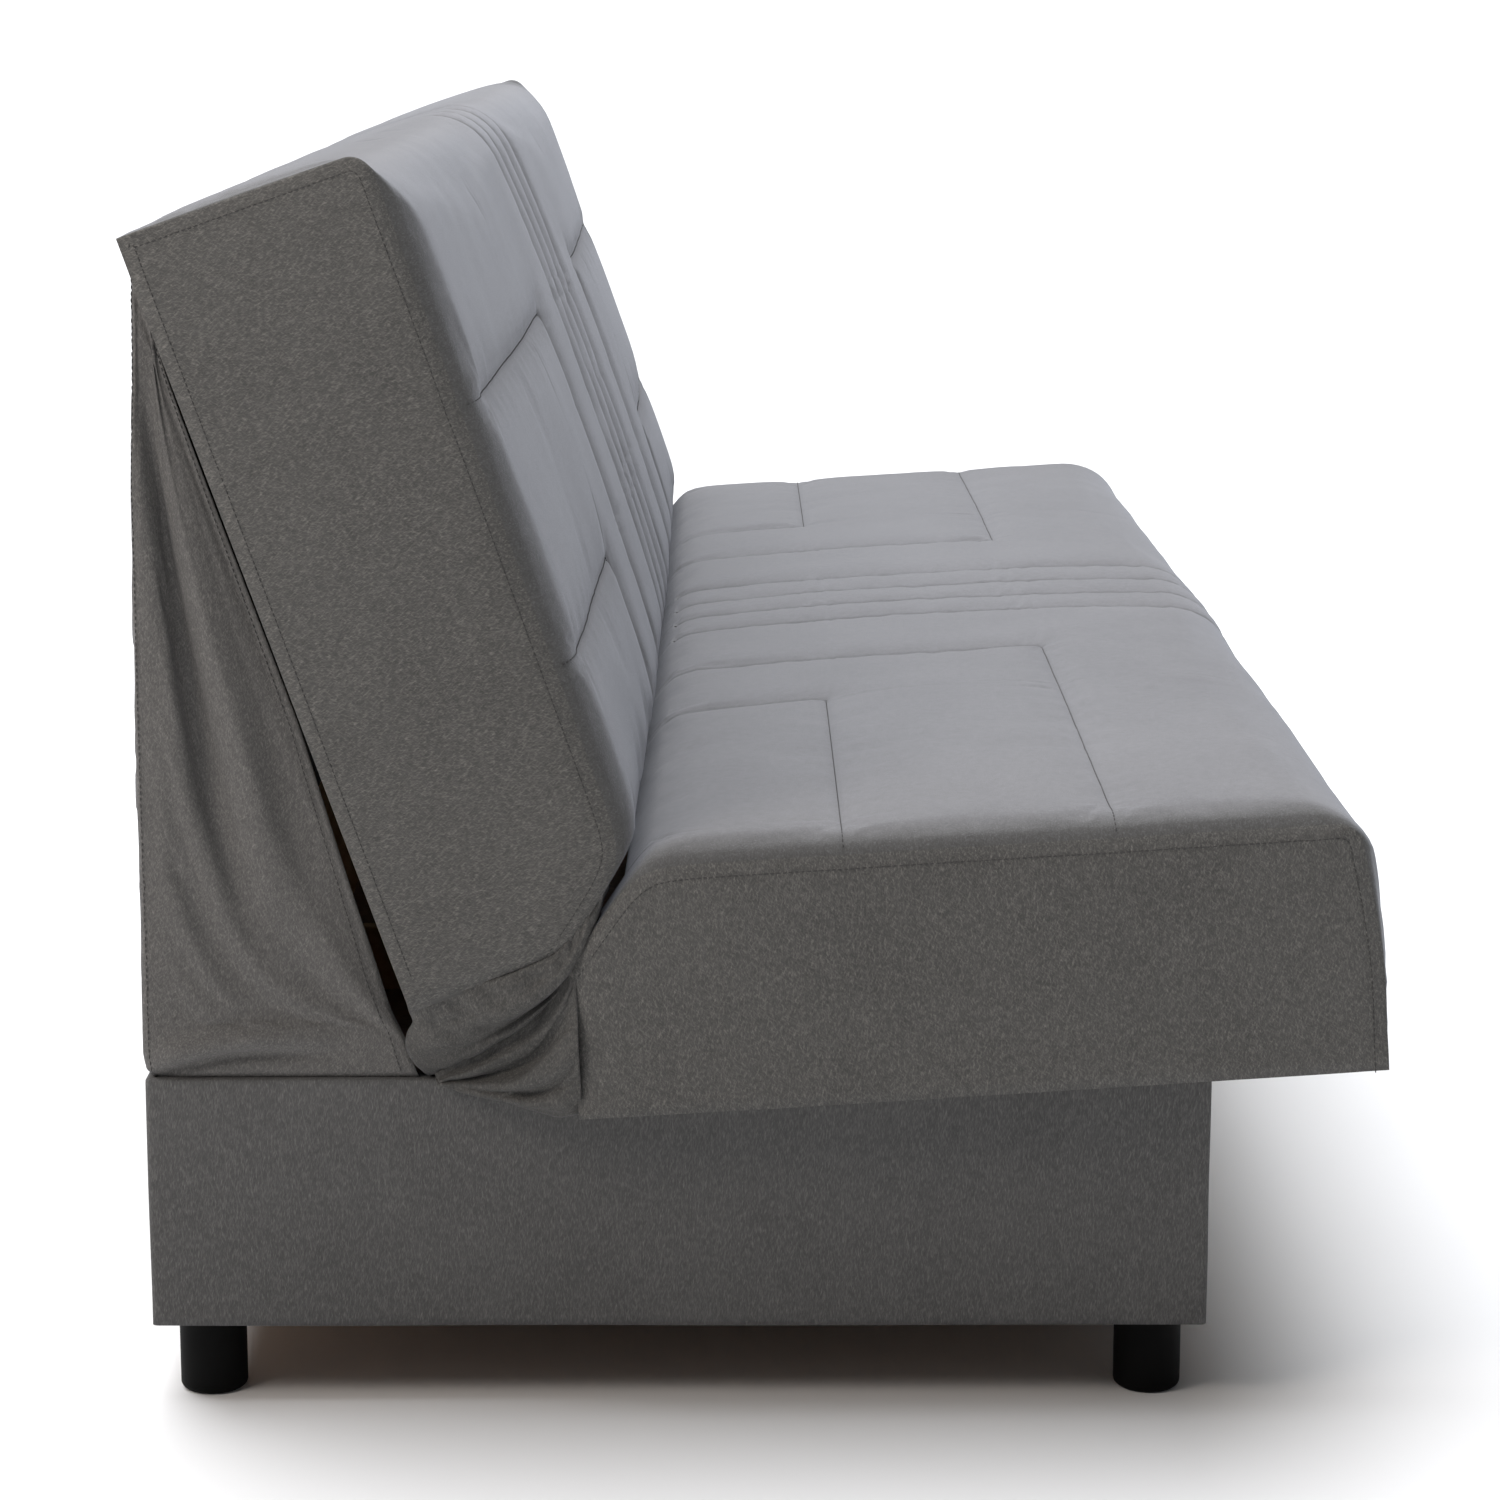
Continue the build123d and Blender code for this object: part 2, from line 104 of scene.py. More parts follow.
# %% Camera
stand_off, side_step, eye_height = 2.563, 0.0204, 0.9965
eye = Vector((-half_length - stand_off, side_step, eye_height))
pitch, yaw = math.radians(11.38), math.radians(-0.248)
look = Vector((math.cos(pitch) * math.cos(yaw), math.cos(pitch) * math.sin(yaw), -math.sin(pitch)))
camera = bpy.data.objects.new("camera", bpy.data.cameras.new("camera"))
camera.data.lens = 92.4
camera.data.sensor_width = 36
camera.location = eye
camera.rotation_euler = look.to_track_quat("-Z", "Y").to_euler()
bpy.context.collection.objects.link(camera)
bpy.context.scene.camera = camera
print("camera", tuple(round(v, 3) for v in eye))

# %% [markdown]
# ## Floor and light
# A studio sweep is one pale floor, a wide soft light overhead and two panels, one behind the back and one
# beyond the far end. Most of the light falls from above, so seat and back read pale while the end panels,
# which face the lens, stay deep grey. The cloth colours add painted light and shade to this: the top sheet is
# painted paler than the end panels of the same cloth.

# %% Floor, panels and surround
def panel(name, where, aim, size, watts, tint):
    """Large area light at a place, turned to a point."""
    light = bpy.data.lights.new(name, "AREA")
    light.shape = "RECTANGLE"
    light.size, light.size_y = size
    light.energy = watts
    light.color = tint
    obj = bpy.data.objects.new(name, light)
    obj.location = where
    obj.rotation_euler = (Vector(aim) - Vector(where)).to_track_quat("-Z", "Y").to_euler()
    bpy.context.collection.objects.link(obj)


floor_mesh = bpy.data.meshes.new("floor")
floor_reach = 400
floor_corners = [(x * floor_reach, y * floor_reach, 0) for x, y in ((-1, -1), (1, -1), (1, 1), (-1, 1))]
floor_mesh.from_pydata(floor_corners, [], [(0, 1, 2, 3)])
floor = bpy.data.objects.new("floor", floor_mesh)
bpy.context.collection.objects.link(floor)

ceiling = bpy.data.lights.new("ceiling", "SUN")
ceiling.energy = 5.5
ceiling.angle = math.radians(70)
ceiling.color = (0.965, 0.975, 1.0)
ceiling_light = bpy.data.objects.new("ceiling", ceiling)
ceiling_light.rotation_euler = Vector((-0.42, -0.16, -1)).to_track_quat("-Z", "Y").to_euler()
bpy.context.collection.objects.link(ceiling_light)
panel("wall_side", (-1.9, 1.7, 1.9), (-0.95, 0.34, 0.75), (0.9, 0.9), 22, (1.0, 0.92, 0.85))
panel("far_end", (2.7, 0.1, 1.7), (0.35, -0.15, 0.4), (1.2, 1.0), 26, (0.93, 0.95, 1.0))

surround = bpy.data.worlds.new("surround")
surround.use_nodes = True
sky = surround.node_tree.nodes["Background"]
sky.inputs["Color"].default_value = (0.97, 0.98, 1.0, 1)
light_on_sofa, seen_behind_it = 0.13, 1.0
ray = surround.node_tree.nodes.new("ShaderNodeLightPath")
levels = surround.node_tree.nodes.new("ShaderNodeMapRange")
levels.inputs["To Min"].default_value = light_on_sofa
levels.inputs["To Max"].default_value = seen_behind_it
surround.node_tree.links.new(ray.outputs["Is Camera Ray"], levels.inputs["Value"])
surround.node_tree.links.new(levels.outputs["Result"], sky.inputs["Strength"])
bpy.context.scene.world = surround
bpy.context.scene.view_settings.view_transform = "Standard"

# %% [markdown]
# ## A small language for finishes
# Shader graphs are easier to read as sums. `Value` wraps one socket and turns + and * into Math nodes;
# `Finish.add` makes any other node from its type, its settings and its inputs, and gives one output as a Value.

# %% Finish and Value
class Value:
    """One number socket that can be used in Python sums."""

    def __init__(self, finish, socket):
        self.finish, self.socket = finish, socket

    def math(self, operation, *others):
        return self.finish.add("Math", 0, {"operation": operation}, dict(enumerate(others)))

    def __add__(self, other):
        return self.math("ADD", self, other)

    def __mul__(self, other):
        return self.math("MULTIPLY", self, other)


class Finish:
    """A material with its shader and the one method that adds nodes."""

    def __init__(self, name):
        self.material = bpy.data.materials.new(name)
        self.material.use_nodes = True
        self.tree = self.material.node_tree
        self.shader = self.tree.nodes["Principled BSDF"]

    def add(self, kind, out, settings=None, inputs=None):
        node = self.tree.nodes.new("ShaderNode" + kind)
        for key, value in (settings or {}).items():
            setattr(node, key, value)
        for key, value in (inputs or {}).items():
            self.feed(node.inputs[key], value)
        return Value(self, node.outputs[out])

    def feed(self, socket, value):
        if isinstance(value, Value):
            self.tree.links.new(value.socket, socket)
        else:
            socket.default_value = value

    def set(self, **values):
        for key, value in values.items():
            self.feed(self.shader.inputs[key.replace("_", " ")], value)
        return self

    def where(self):
        """Position on the piece, in metres."""
        return self.add("TexCoord", "Object")

    def flat(self):
        """Position on the cloth as it was laid out, so that the nap turns with the piece it was cut for."""
        return self.add("Attribute", "Vector", {"attribute_name": "flat"})

    def stretch(self, vector, times, turn_by=0.0):
        """The vector turned about X and then drawn out by so many times along each axis."""
        inputs = {"Vector": vector, "Scale": times, "Rotation": (turn_by, 0, 0)}
        return self.add("Mapping", "Vector", {"vector_type": "TEXTURE"}, inputs)

    def noise(self, vector, scale, detail=2.0, rough=0.5):
        inputs = {"Vector": vector, "Scale": scale, "Detail": detail, "Roughness": rough}
        return self.add("TexNoise", 0, None, inputs)

    def ramp(self, value, low, high):
        """Value stretched so that low becomes 0 and high becomes 1."""
        inputs = {"Value": value, "From Min": low, "From Max": high}
        return self.add("MapRange", 0, {"clamp": True}, inputs)

    def blend(self, factor, a, b):
        settings = {"data_type": "RGBA", "clamp_factor": True}
        return self.add("Mix", 2, settings, {0: factor, 6: a, 7: b})

    def attribute(self, name):
        """A number that was stored on the piece."""
        return self.add("Attribute", "Fac", {"attribute_name": name})

    def relief(self, height, strength, distance):
        inputs = {"Height": height, "Strength": strength, "Distance": distance}
        return self.add("Bump", "Normal", None, inputs)


# %% [markdown]
# ## The suede-look cloth
# The cover is one microfibre cloth with a fine melange: short pale hairs follow the nap, give or take a small
# turn, over a darker ground. Stretched noises at different turns give the hairs, a wide noise gives the brushed
# patches, and a fine bump stops the surface from looking like card. Each piece stores where its cloth lay when
# it was cut, so the nap follows the piece. It also stores where the cloth is creased and where the top sheet
# turns over an end, and paints shade into the colour at both places: painted shade in the quilting grooves and
# gusset folds, and painted shade on the roll at the ends of the top sheet. The top sheet's ground itself is
# painted paler than the end panels' ground, painted light and shade in place of the light falling from above.

# %% Cloth finishes
def cloth(name, ground, hair, sheen, turns=(-0.5, -0.1, 0.35, 0.9), gain=0.20, mottle=0.22, length=3.6,
          end=None, cut=True):
    """Suede-look microfibre: turns, gain and length are the hairs' angles, strength and stretch, mottle is the
    patchiness, end is the darker ground painted in as shade where a sheet turns over, and cut is off for what
    was not cut from a sheet."""
    f = Finish(name)
    where = f.flat() if cut else f.where()
    hairs = None
    for i, angle in enumerate(turns):
        layer = f.ramp(f.noise(f.stretch(where, (1, 1, length), angle), 820 + 110 * i, 1.0), 0.52, 0.72)
        hairs = layer if hairs is None else hairs + layer
    grain = f.noise(where, 1500, 2.0)
    brushed = f.noise(where, 160, 3.0, 0.6)
    patches = f.noise(where, 12, 3.0, 0.6) * 0.5 + f.noise(where, 2.8, 2.0, 0.5) * 0.5
    tone = f.ramp(grain * 0.34 + brushed * 0.30 + patches * 0.36, 0.36, 0.64)

    def shaded(base):
        dark, pale = (tuple(c * (1 + side * mottle) for c in base) + (1,) for side in (-1, 1))
        return f.blend(tone, dark, pale)

    colour = shaded(ground)
    # Painted shade: where the top sheet rolls over towards an end panel, and faintly over its last 0.16 m, the
    # colour turns to the darker end ground.
    if end:
        colour = f.blend(f.attribute("turned"), colour, shaded(end))
    colour = f.blend(hairs * gain, colour, hair + (1,))
    # Painted shade: the colour darkens towards 30 % of the ground in quilting grooves and gusset folds, where
    # shade falls.
    colour = f.blend(f.attribute("crease_shade") * 0.62, colour, tuple(c * 0.30 for c in ground) + (1,))
    f.set(Base_Color=colour, Roughness=tone * 0.10 + 0.80)
    f.set(Sheen_Weight=sheen, Sheen_Roughness=0.4, Specular_IOR_Level=0.2)
    f.shader.inputs["Sheen Tint"].default_value = (0.86, 0.90, 1.0, 1)
    height = grain * 0.5 + hairs * 0.25 + brushed * 1.1
    f.set(Normal=f.relief(height, 0.30, 0.0008))
    return f.material


# Painted light and shade: the top sheet is the same cloth as the end panels, but its ground is painted about
# twice as pale. This stands in for the light from above on the top and the shade on the lens-facing ends.
side_ground = (0.079, 0.077, 0.0735)
top_ground_painted_lit = (0.150, 0.148, 0.153)
top_hair = (0.27, 0.27, 0.28)
top_cloth = cloth("cushion_top_cloth", top_ground_painted_lit, top_hair, 0.26, gain=0.10, mottle=0.20, end=side_ground)
side_cloth = cloth("side_panel_cloth", side_ground, (0.27, 0.255, 0.235), 0.06, mottle=0.26)
box_turns = (-0.2, 0.0, 0.15, 0.3)
box_cloth = cloth("box_cloth", (0.082, 0.080, 0.079), (0.23, 0.225, 0.215), 0.05, turns=box_turns, length=4.5)
curtain_cloth = cloth("curtain_cloth", (0.096, 0.0925, 0.089), (0.27, 0.255, 0.24), 0.10)
thread = cloth("dark_thread", (0.055, 0.053, 0.052), (0.09, 0.088, 0.085), 0.0, turns=(0.3, 1.1), cut=False)
print("cloths", [m.name for m in (top_cloth, side_cloth, box_cloth, curtain_cloth, thread)])

# %% [markdown]
# ## Hard finishes
# Pine shows growth rings stretched along its length, birch ply is paler and finer, hardboard is a felt of dark
# fibres. The steel arms and hub brackets are powder coated with a fine orange peel, and bolts, pins and washers
# are zinc plated. The feet are moulded plastic with a spark-eroded grain.

# %% Wood, metal, plastic, felt
def wood(name, light, dark, ring, along):
    """Planed timber with rings drawn out along one axis."""
    f = Finish(name)
    grain = f.stretch(f.where(), along)
    rings = f.noise(grain, ring, 4.0, 0.6)
    pores = f.noise(grain, ring * 9, 2.0)
    tone = f.ramp(rings * 0.75 + pores * 0.25, 0.35, 0.65)
    f.set(Base_Color=f.blend(tone, light + (1,), dark + (1,)), Roughness=tone * 0.12 + 0.52)
    f.set(Normal=f.relief(tone, 0.15, 0.0004))
    return f.material


def metal(name, colour, rough, metallic, grain_scale, bump):
    """Coated or plated steel."""
    f = Finish(name)
    where = f.where()
    peel = f.noise(where, grain_scale, 2.0)
    cloud = f.noise(where, 22, 3.0)
    dark = tuple(c * 0.85 for c in colour) + (1,)
    f.set(Base_Color=f.blend(f.ramp(cloud, 0.35, 0.65), dark, colour + (1,)))
    f.set(Metallic=metallic, Roughness=f.ramp(cloud, 0.2, 0.8) * 0.15 + rough)
    f.set(Normal=f.relief(peel, bump, 0.0003))
    return f.material


pine = wood("planed_pine", (0.60, 0.42, 0.23), (0.47, 0.29, 0.13), 34, (12, 1, 1))
birch = wood("birch_ply", (0.68, 0.53, 0.34), (0.56, 0.41, 0.24), 60, (1, 10, 3))
hardboard = wood("hardboard", (0.20, 0.115, 0.06), (0.13, 0.072, 0.038), 160, (1, 1, 1))
coated = metal("black_powder_coat", (0.022, 0.022, 0.024), 0.42, 0.0, 900, 0.25)
zinc = metal("zinc_plate", (0.56, 0.57, 0.58), 0.28, 1.0, 1400, 0.12)
plastic = metal("moulded_plastic", (0.0022, 0.0022, 0.0022), 0.55, 0.0, 2200, 0.2)
plastic.node_tree.nodes["Principled BSDF"].inputs["Specular IOR Level"].default_value = 0.10
felt = cloth("pressed_felt", (0.05, 0.05, 0.052), (0.09, 0.09, 0.095), 0.2, cut=False)
floor_finish = Finish("studio_floor")
floor_tone = floor_finish.ramp(floor_finish.noise(floor_finish.where(), 3, 2.0), 0.2, 0.8)
floor_colour = floor_finish.blend(floor_tone, (0.77, 0.77, 0.77, 1), (0.79, 0.79, 0.79, 1))
floor_finish.set(Base_Color=floor_colour, Roughness=0.7)
floor.data.materials.append(floor_finish.material)

for name in frame["nodes"]:
    if "slats" in name:
        finish = birch
    elif name == "box_bottom":
        finish = hardboard
    elif "holders" in name or name == "feet":
        finish = plastic
    elif name == "rest_pads":
        finish = felt
    elif name in ("hub_brackets", "seat_arms", "back_arms", "pawl_left", "pawl_right"):
        finish = coated
    elif any(word in name for word in ("bolts", "pins", "washers", "corner_brackets")):
        finish = zinc
    else:
        finish = pine
    obj = bpy.data.objects[name]
    if not obj.material_slots:
        obj.data.materials.append(finish)
    for slot in obj.material_slots:
        slot.material = finish
print("finished", len(frame["nodes"]), "rigid nodes")

# %% [markdown]
# ## Mesh helpers
# Every soft piece is worked out as arrays of points and turned into one mesh with merged seams. Two small
# curves do most of the drawing: a limit, for what fades in over a distance, and a hill, for a fold or a groove.

# %% Building meshes
def limit(value):
    """Kept between 0 and 1."""
    return np.clip(value, 0, 1)


def hill(distance, width):
    """1 in the middle, falling away smoothly on both sides."""
    return np.exp(-((distance / width) ** 2))


def grid_faces(rows, cols, start=0, flip=False):
    """Quads over a grid of rows by cols points."""
    faces = []
    for r in range(rows - 1):
        for c in range(cols - 1):
            a = start + r * cols + c
            quad = (a, a + 1, a + cols + 1, a + cols)
            faces.append(quad[::-1] if flip else quad)
    return faces


def make_piece(name, points, faces, finishes, face_finish=None, merge=1e-5):
    """Mesh object with merged doubles and outward normals."""
    mesh = bpy.data.meshes.new(name)
    mesh.from_pydata([tuple(p) for p in points], [], faces)
    for finish in finishes:
        mesh.materials.append(finish)
    if face_finish is not None:
        mesh.polygons.foreach_set("material_index", face_finish)
    bm = bmesh.new()
    bm.from_mesh(mesh)
    bmesh.ops.remove_doubles(bm, verts=bm.verts, dist=merge)
    bmesh.ops.recalc_face_normals(bm, faces=bm.faces)
    bm.to_mesh(mesh)
    bm.free()
    mesh.polygons.foreach_set("use_smooth", [True] * len(mesh.polygons))
    obj = bpy.data.objects.new(name, mesh)
    bpy.context.collection.objects.link(obj)
    return obj


def spread(stops, fine_at, coarse, fine, width):
    """Places from the first stop to the last: coarse steps that tighten near the fine places."""
    low, high = stops
    at, places = low, [low]
    while at < high - 1e-6:
        near = min((abs(at - f) for f in fine_at), default=1)
        step = fine if near < width else coarse
        step = min(step, max(fine, near - width)) if near >= width else step
        at += step
        places.append(at)
    places = np.array(places)
    return low + (places - low) * (high - low) / (places[-1] - low)


def cloth_noise(points, scale, seed):
    """Smooth noise from -1 to 1 at each point."""
    shift = Vector((seed * 7.31, seed * 3.17, seed * 5.71))
    return np.array([noise.noise(Vector(p) * scale + shift) for p in points])


def at_points(mesh):
    """The mesh's points as rows of numbers."""
    flat = np.empty(len(mesh.vertices) * 3)
    mesh.vertices.foreach_get("co", flat)
    return flat.reshape(-1, 3)


def note(piece, name, values):
    """Store one number, or one position, for each point of a piece."""
    kind, key = ("FLOAT", "value") if values.ndim == 1 else ("FLOAT_VECTOR", "vector")
    piece.data.attributes.new(name, kind, "POINT").data.foreach_set(key, values.astype(np.float32).ravel())


def thicken(piece, thickness, offset):
    """Give a sheet the thickness of its cloth, inwards at -1 and to both sides at 0."""
    layer = piece.modifiers.new("cloth", "SOLIDIFY")
    layer.thickness = thickness
    layer.offset = offset


# %% [markdown]
# ## Letting cloth settle
# Drawn shapes are too calm for fabric. Each soft piece but the box cover gets a short cloth simulation: the
# points that are sewn down are pinned, the rest may be pushed by the filling, pulled by gravity or given a
# little spare cloth, which makes it buckle into its own creases. Afterwards no point keeps more than a small cap
# of that movement, so the piece still fits its frame.

# %% settle
cloth_pull = 15


def settle(piece, pins, spare, bending, cap, frames=14, pressure=0.0, gravity=0.0):
    """Cloth simulation whose result is kept in the mesh; pins is one weight for each point."""
    mesh = piece.data
    start = at_points(mesh)
    group = piece.vertex_groups.new(name="sewn")
    for i, weight in enumerate(pins):
        if weight > 0:
            group.add([i], float(weight), "REPLACE")
    cloth_sim = piece.modifiers.new("settle", "CLOTH")
    settings = cloth_sim.settings
    settings.quality = 6
    settings.mass = 0.3
    settings.vertex_group_mass = "sewn"
    settings.tension_stiffness = settings.compression_stiffness = settings.shear_stiffness = cloth_pull
    settings.bending_stiffness = bending
    settings.shrink_min = -spare
    settings.use_pressure = pressure > 0
    settings.uniform_pressure_force = pressure
    settings.effector_weights.gravity = gravity
    cloth_sim.collision_settings.use_collision = False
    cloth_sim.point_cache.frame_start = 1
    cloth_sim.point_cache.frame_end = frames
    for frame_number in range(1, frames + 1):
        bpy.context.scene.frame_set(frame_number)
    settled = piece.evaluated_get(bpy.context.evaluated_depsgraph_get())
    move = at_points(settled.data) - start
    length = np.linalg.norm(move, axis=1, keepdims=True)
    kept = cap * np.tanh(length / cap)
    move = np.where(length > 1e-9, move * kept / np.maximum(length, 1e-9), 0)
    piece.modifiers.remove(cloth_sim)
    piece.vertex_groups.clear()
    mesh.vertices.foreach_set("co", (start + move).ravel())
    mesh.update()
    bpy.context.scene.frame_set(1)
    mean, most = (round(float(v) * 1000, 2) for v in (length.mean(), length.max()))
    print(piece.name, "settled, mean move", mean, "mm, most", most)


# %% [markdown]
# ## Stitches
# A seam is a row of short thread loops. One Geometry Nodes tree walks along a path, drops a small six-sided
# bead every few millimetres, turns it along the path and gives it the thread's finish. The same tree serves
# the quilting, the end seams and the hems; only its inputs change.

# %% Stitch tree
stitch_spacing, stitch_length, stitch_radius = 0.005, 0.0019, 0.00045


def stitch_tree():
    """Node group: curve in, thread beads out."""
    tree = bpy.data.node_groups.new("stitches", "GeometryNodeTree")
    face = tree.interface
    face.new_socket("Path", in_out="INPUT", socket_type="NodeSocketGeometry")
    for name, value in (("Spacing", stitch_spacing), ("Length", stitch_length), ("Radius", stitch_radius)):
        face.new_socket(name, in_out="INPUT", socket_type="NodeSocketFloat").default_value = value
    face.new_socket("Thread", in_out="INPUT", socket_type="NodeSocketMaterial")
    face.new_socket("Stitches", in_out="OUTPUT", socket_type="NodeSocketGeometry")

    def add(kind, settings=None, **links):
        node = tree.nodes.new(kind)
        for key, value in (settings or {}).items():
            setattr(node, key, value)
        for key, source in links.items():
            tree.links.new(source, node.inputs[key.replace("_", " ")])
        return node

    given = tree.nodes.new("NodeGroupInput")
    given_out = given.outputs
    by_length = {"mode": "LENGTH"}
    resample = add("GeometryNodeResampleCurve", by_length, Curve=given_out["Path"], Length=given_out["Spacing"])
    bead = tree.nodes.new("GeometryNodeMeshUVSphere")
    bead.inputs["Segments"].default_value = 6
    bead.inputs["Rings"].default_value = 4
    bead.inputs["Radius"].default_value = 1
    size = add("ShaderNodeCombineXYZ", X=given_out["Radius"], Y=given_out["Radius"], Z=given_out["Length"])
    tangent = tree.nodes.new("GeometryNodeInputTangent")
    turned = add("FunctionNodeAlignEulerToVector", {"axis": "Z"}, Vector=tangent.outputs["Tangent"])
    placed = add("GeometryNodeInstanceOnPoints", Points=resample.outputs["Curve"], Instance=bead.outputs["Mesh"])
    tree.links.new(turned.outputs["Rotation"], placed.inputs["Rotation"])
    tree.links.new(size.outputs["Vector"], placed.inputs["Scale"])
    real = add("GeometryNodeRealizeInstances", Geometry=placed.outputs["Instances"])
    painted = add("GeometryNodeSetMaterial", Geometry=real.outputs["Geometry"], Material=given_out["Thread"])
    result = tree.nodes.new("NodeGroupOutput")
    tree.links.new(painted.outputs["Geometry"], result.inputs["Stitches"])
    return tree


stitching = stitch_tree()
print("stitch inputs", [i.name for i in stitching.interface.items_tree if i.in_out == "INPUT"])


# %% sew
def sew(name, paths, spacing=stitch_spacing, length=stitch_length, radius=stitch_radius):
    """Stitches along paths of points, as one plain mesh."""
    curve = bpy.data.curves.new(name + "_path", "CURVE")
    curve.dimensions = "3D"
    for path_points in paths:
        spline = curve.splines.new("POLY")
        spline.points.add(len(path_points) - 1)
        for point, co in zip(spline.points, path_points):
            point.co = (*co, 1)
    guide = bpy.data.objects.new(name + "_path", curve)
    bpy.context.collection.objects.link(guide)
    sewing = guide.modifiers.new("stitches", "NODES")
    sewing.node_group = stitching
    sockets = {i.name: i.identifier for i in stitching.interface.items_tree if i.in_out == "INPUT"}
    for key, value in (("Spacing", spacing), ("Length", length), ("Radius", radius), ("Thread", thread)):
        sewing[sockets[key]] = value
    shown = bpy.context.evaluated_depsgraph_get()
    mesh = bpy.data.meshes.new_from_object(guide.evaluated_get(shown))
    bpy.data.objects.remove(guide)
    piece = bpy.data.objects.new(name, mesh)
    bpy.context.collection.objects.link(piece)
    if not mesh.materials:
        mesh.materials.append(thread)
    mesh.polygons.foreach_set("use_smooth", [True] * len(mesh.polygons))
    print(name, len(mesh.polygons), "faces")
    return piece


# %% [markdown]
# ## The quilted halves
# A half is a closed cushion: a top sheet that runs over the outer edge and down the front, two end panels
# stitched just inside their border, and a wrapped underside. The section is drawn as the softer of two limits,
# the crowned padding and the line where both halves squash together at the hub. Quilting is sewn through the
# padding: four lines cross the middle and two nested corners run out to each end. Rows and columns are packed
# tightly where the needle went, so the grooves are real geometry.

# %% Quilting plan
outer_edge = 0.566
cover_foot = -0.109
seam_height = 0.0666
seam_x = half_length - 0.003
roll_width = 0.030
pad_foot = -0.0605
hub_pocket_x = 0.9165
hub_side_s = 0.0043
hub_pocket_depth = 0.046
contact_angle = math.radians(37.3)
contact_slope = 1 / math.tan(contact_angle)
centre_lines = (-0.12, -0.04, 0.04, 0.12)
corners = ((0.310, 0.385), (0.490, 0.198))
quilt_start = 0.07
top_from, half_way, past_all_turns = 0.03, 0.3, 0.6


def softer(a, b, radius):
    """Smooth lower limit of two heights."""
    return -radius * np.logaddexp(-a / radius, -b / radius)


def quilt_distance(x, s, t):
    """Distance to the nearest quilting line and the place along it; only the middle lines run down the front."""
    s = np.where(t < top_from, np.where(s > half_way, past_all_turns, 0.0), s)
    best = np.full(x.shape, 1.0)
    along = np.zeros(x.shape)
    for line in centre_lines:
        d = np.where(s < quilt_start, 1.0, np.abs(x - line))
        along = np.where(d < best, s, along)
        best = np.minimum(best, d)
    for side in (-1, 1):
        for leg, turn_at in corners:
            u = x * side
            d = np.hypot(u - leg, np.maximum(0, s - turn_at) + np.maximum(0, quilt_start - s))
            along = np.where(d < best, s, along)
            best = np.minimum(best, d)
            d = np.hypot(s - turn_at, np.maximum(0, leg - u))
            along = np.where(d < best, x, along)
            best = np.minimum(best, d)
    return best, along


# %% Section of a half
sewn_x = [side * x for x in (*centre_lines[2:], *(leg for leg, _ in corners)) for side in (-1, 1)]
columns = spread((-seam_x, 0.0), sewn_x + [-seam_x, -seam_x + 0.012, -hub_pocket_x], 0.016, 0.003, 0.010)
columns = np.concatenate([columns, -columns[-2::-1]])
crest_end, widen_from, widen_over = 0.511, 0.42, 0.091
s_rows = spread((hub_side_s, crest_end), [turn_at for _, turn_at in corners] + [0.05], 0.013, 0.003, 0.011)
round_rows = np.radians(np.arange(9, 91, 9))
drop_rows = 15
edge_count = 5 + drop_rows


def half_section(x, bulge, lean_in):
    """Points of the top sheet for one column: hub face, crown, rounded outer edge and front."""
    rolled = math.sqrt(1 - (1 - min(1, (seam_x - abs(x)) / roll_width)) ** 2)
    mid = 1 - abs(x / half_length) ** 3
    start, foot = (hub_pocket_depth, pad_foot) if abs(x) < hub_pocket_x else (hub_side_s, cover_foot)
    wide, tall = 0.018 + 0.040 * rolled, 0.016 + 0.028 * rolled
    edge = outer_edge - 0.0005
    lean = lean_in * (1.2 - rolled)
    s = s_rows + limit(1 - (s_rows - hub_side_s) / 0.09) * (start - hub_side_s)
    s += limit((s_rows - widen_from) / widen_over) * (edge - lean - wide - crest_end)
    bell = np.sin(limit((s - 0.03) / 0.50) * math.pi) ** 0.45
    crown = seam_height + 0.0135 * rolled + bulge * mid * bell
    t = softer(crown, (s - 0.0045) * contact_slope, 0.012 - 0.004 * rolled)
    top = t[-1]
    face = np.stack([np.full(edge_count - 1, start), np.linspace(foot, t[0], edge_count)[:-1]], 1)
    crest = np.stack([s, t], 1)
    arc = np.stack([edge - lean - wide + wide * np.sin(round_rows), top - tall + tall * np.cos(round_rows)], 1)
    fall = np.linspace(top - tall, cover_foot, drop_rows + 1)[1:]
    down = np.linspace(0, 1, drop_rows + 1)[1:]
    swell = 0.002 * rolled * np.sin(down * math.pi) - lean * limit(1 - 1.6 * down) ** 1.5
    front = np.stack([edge + swell, fall], 1)
    return np.concatenate([face, crest, arc, front])


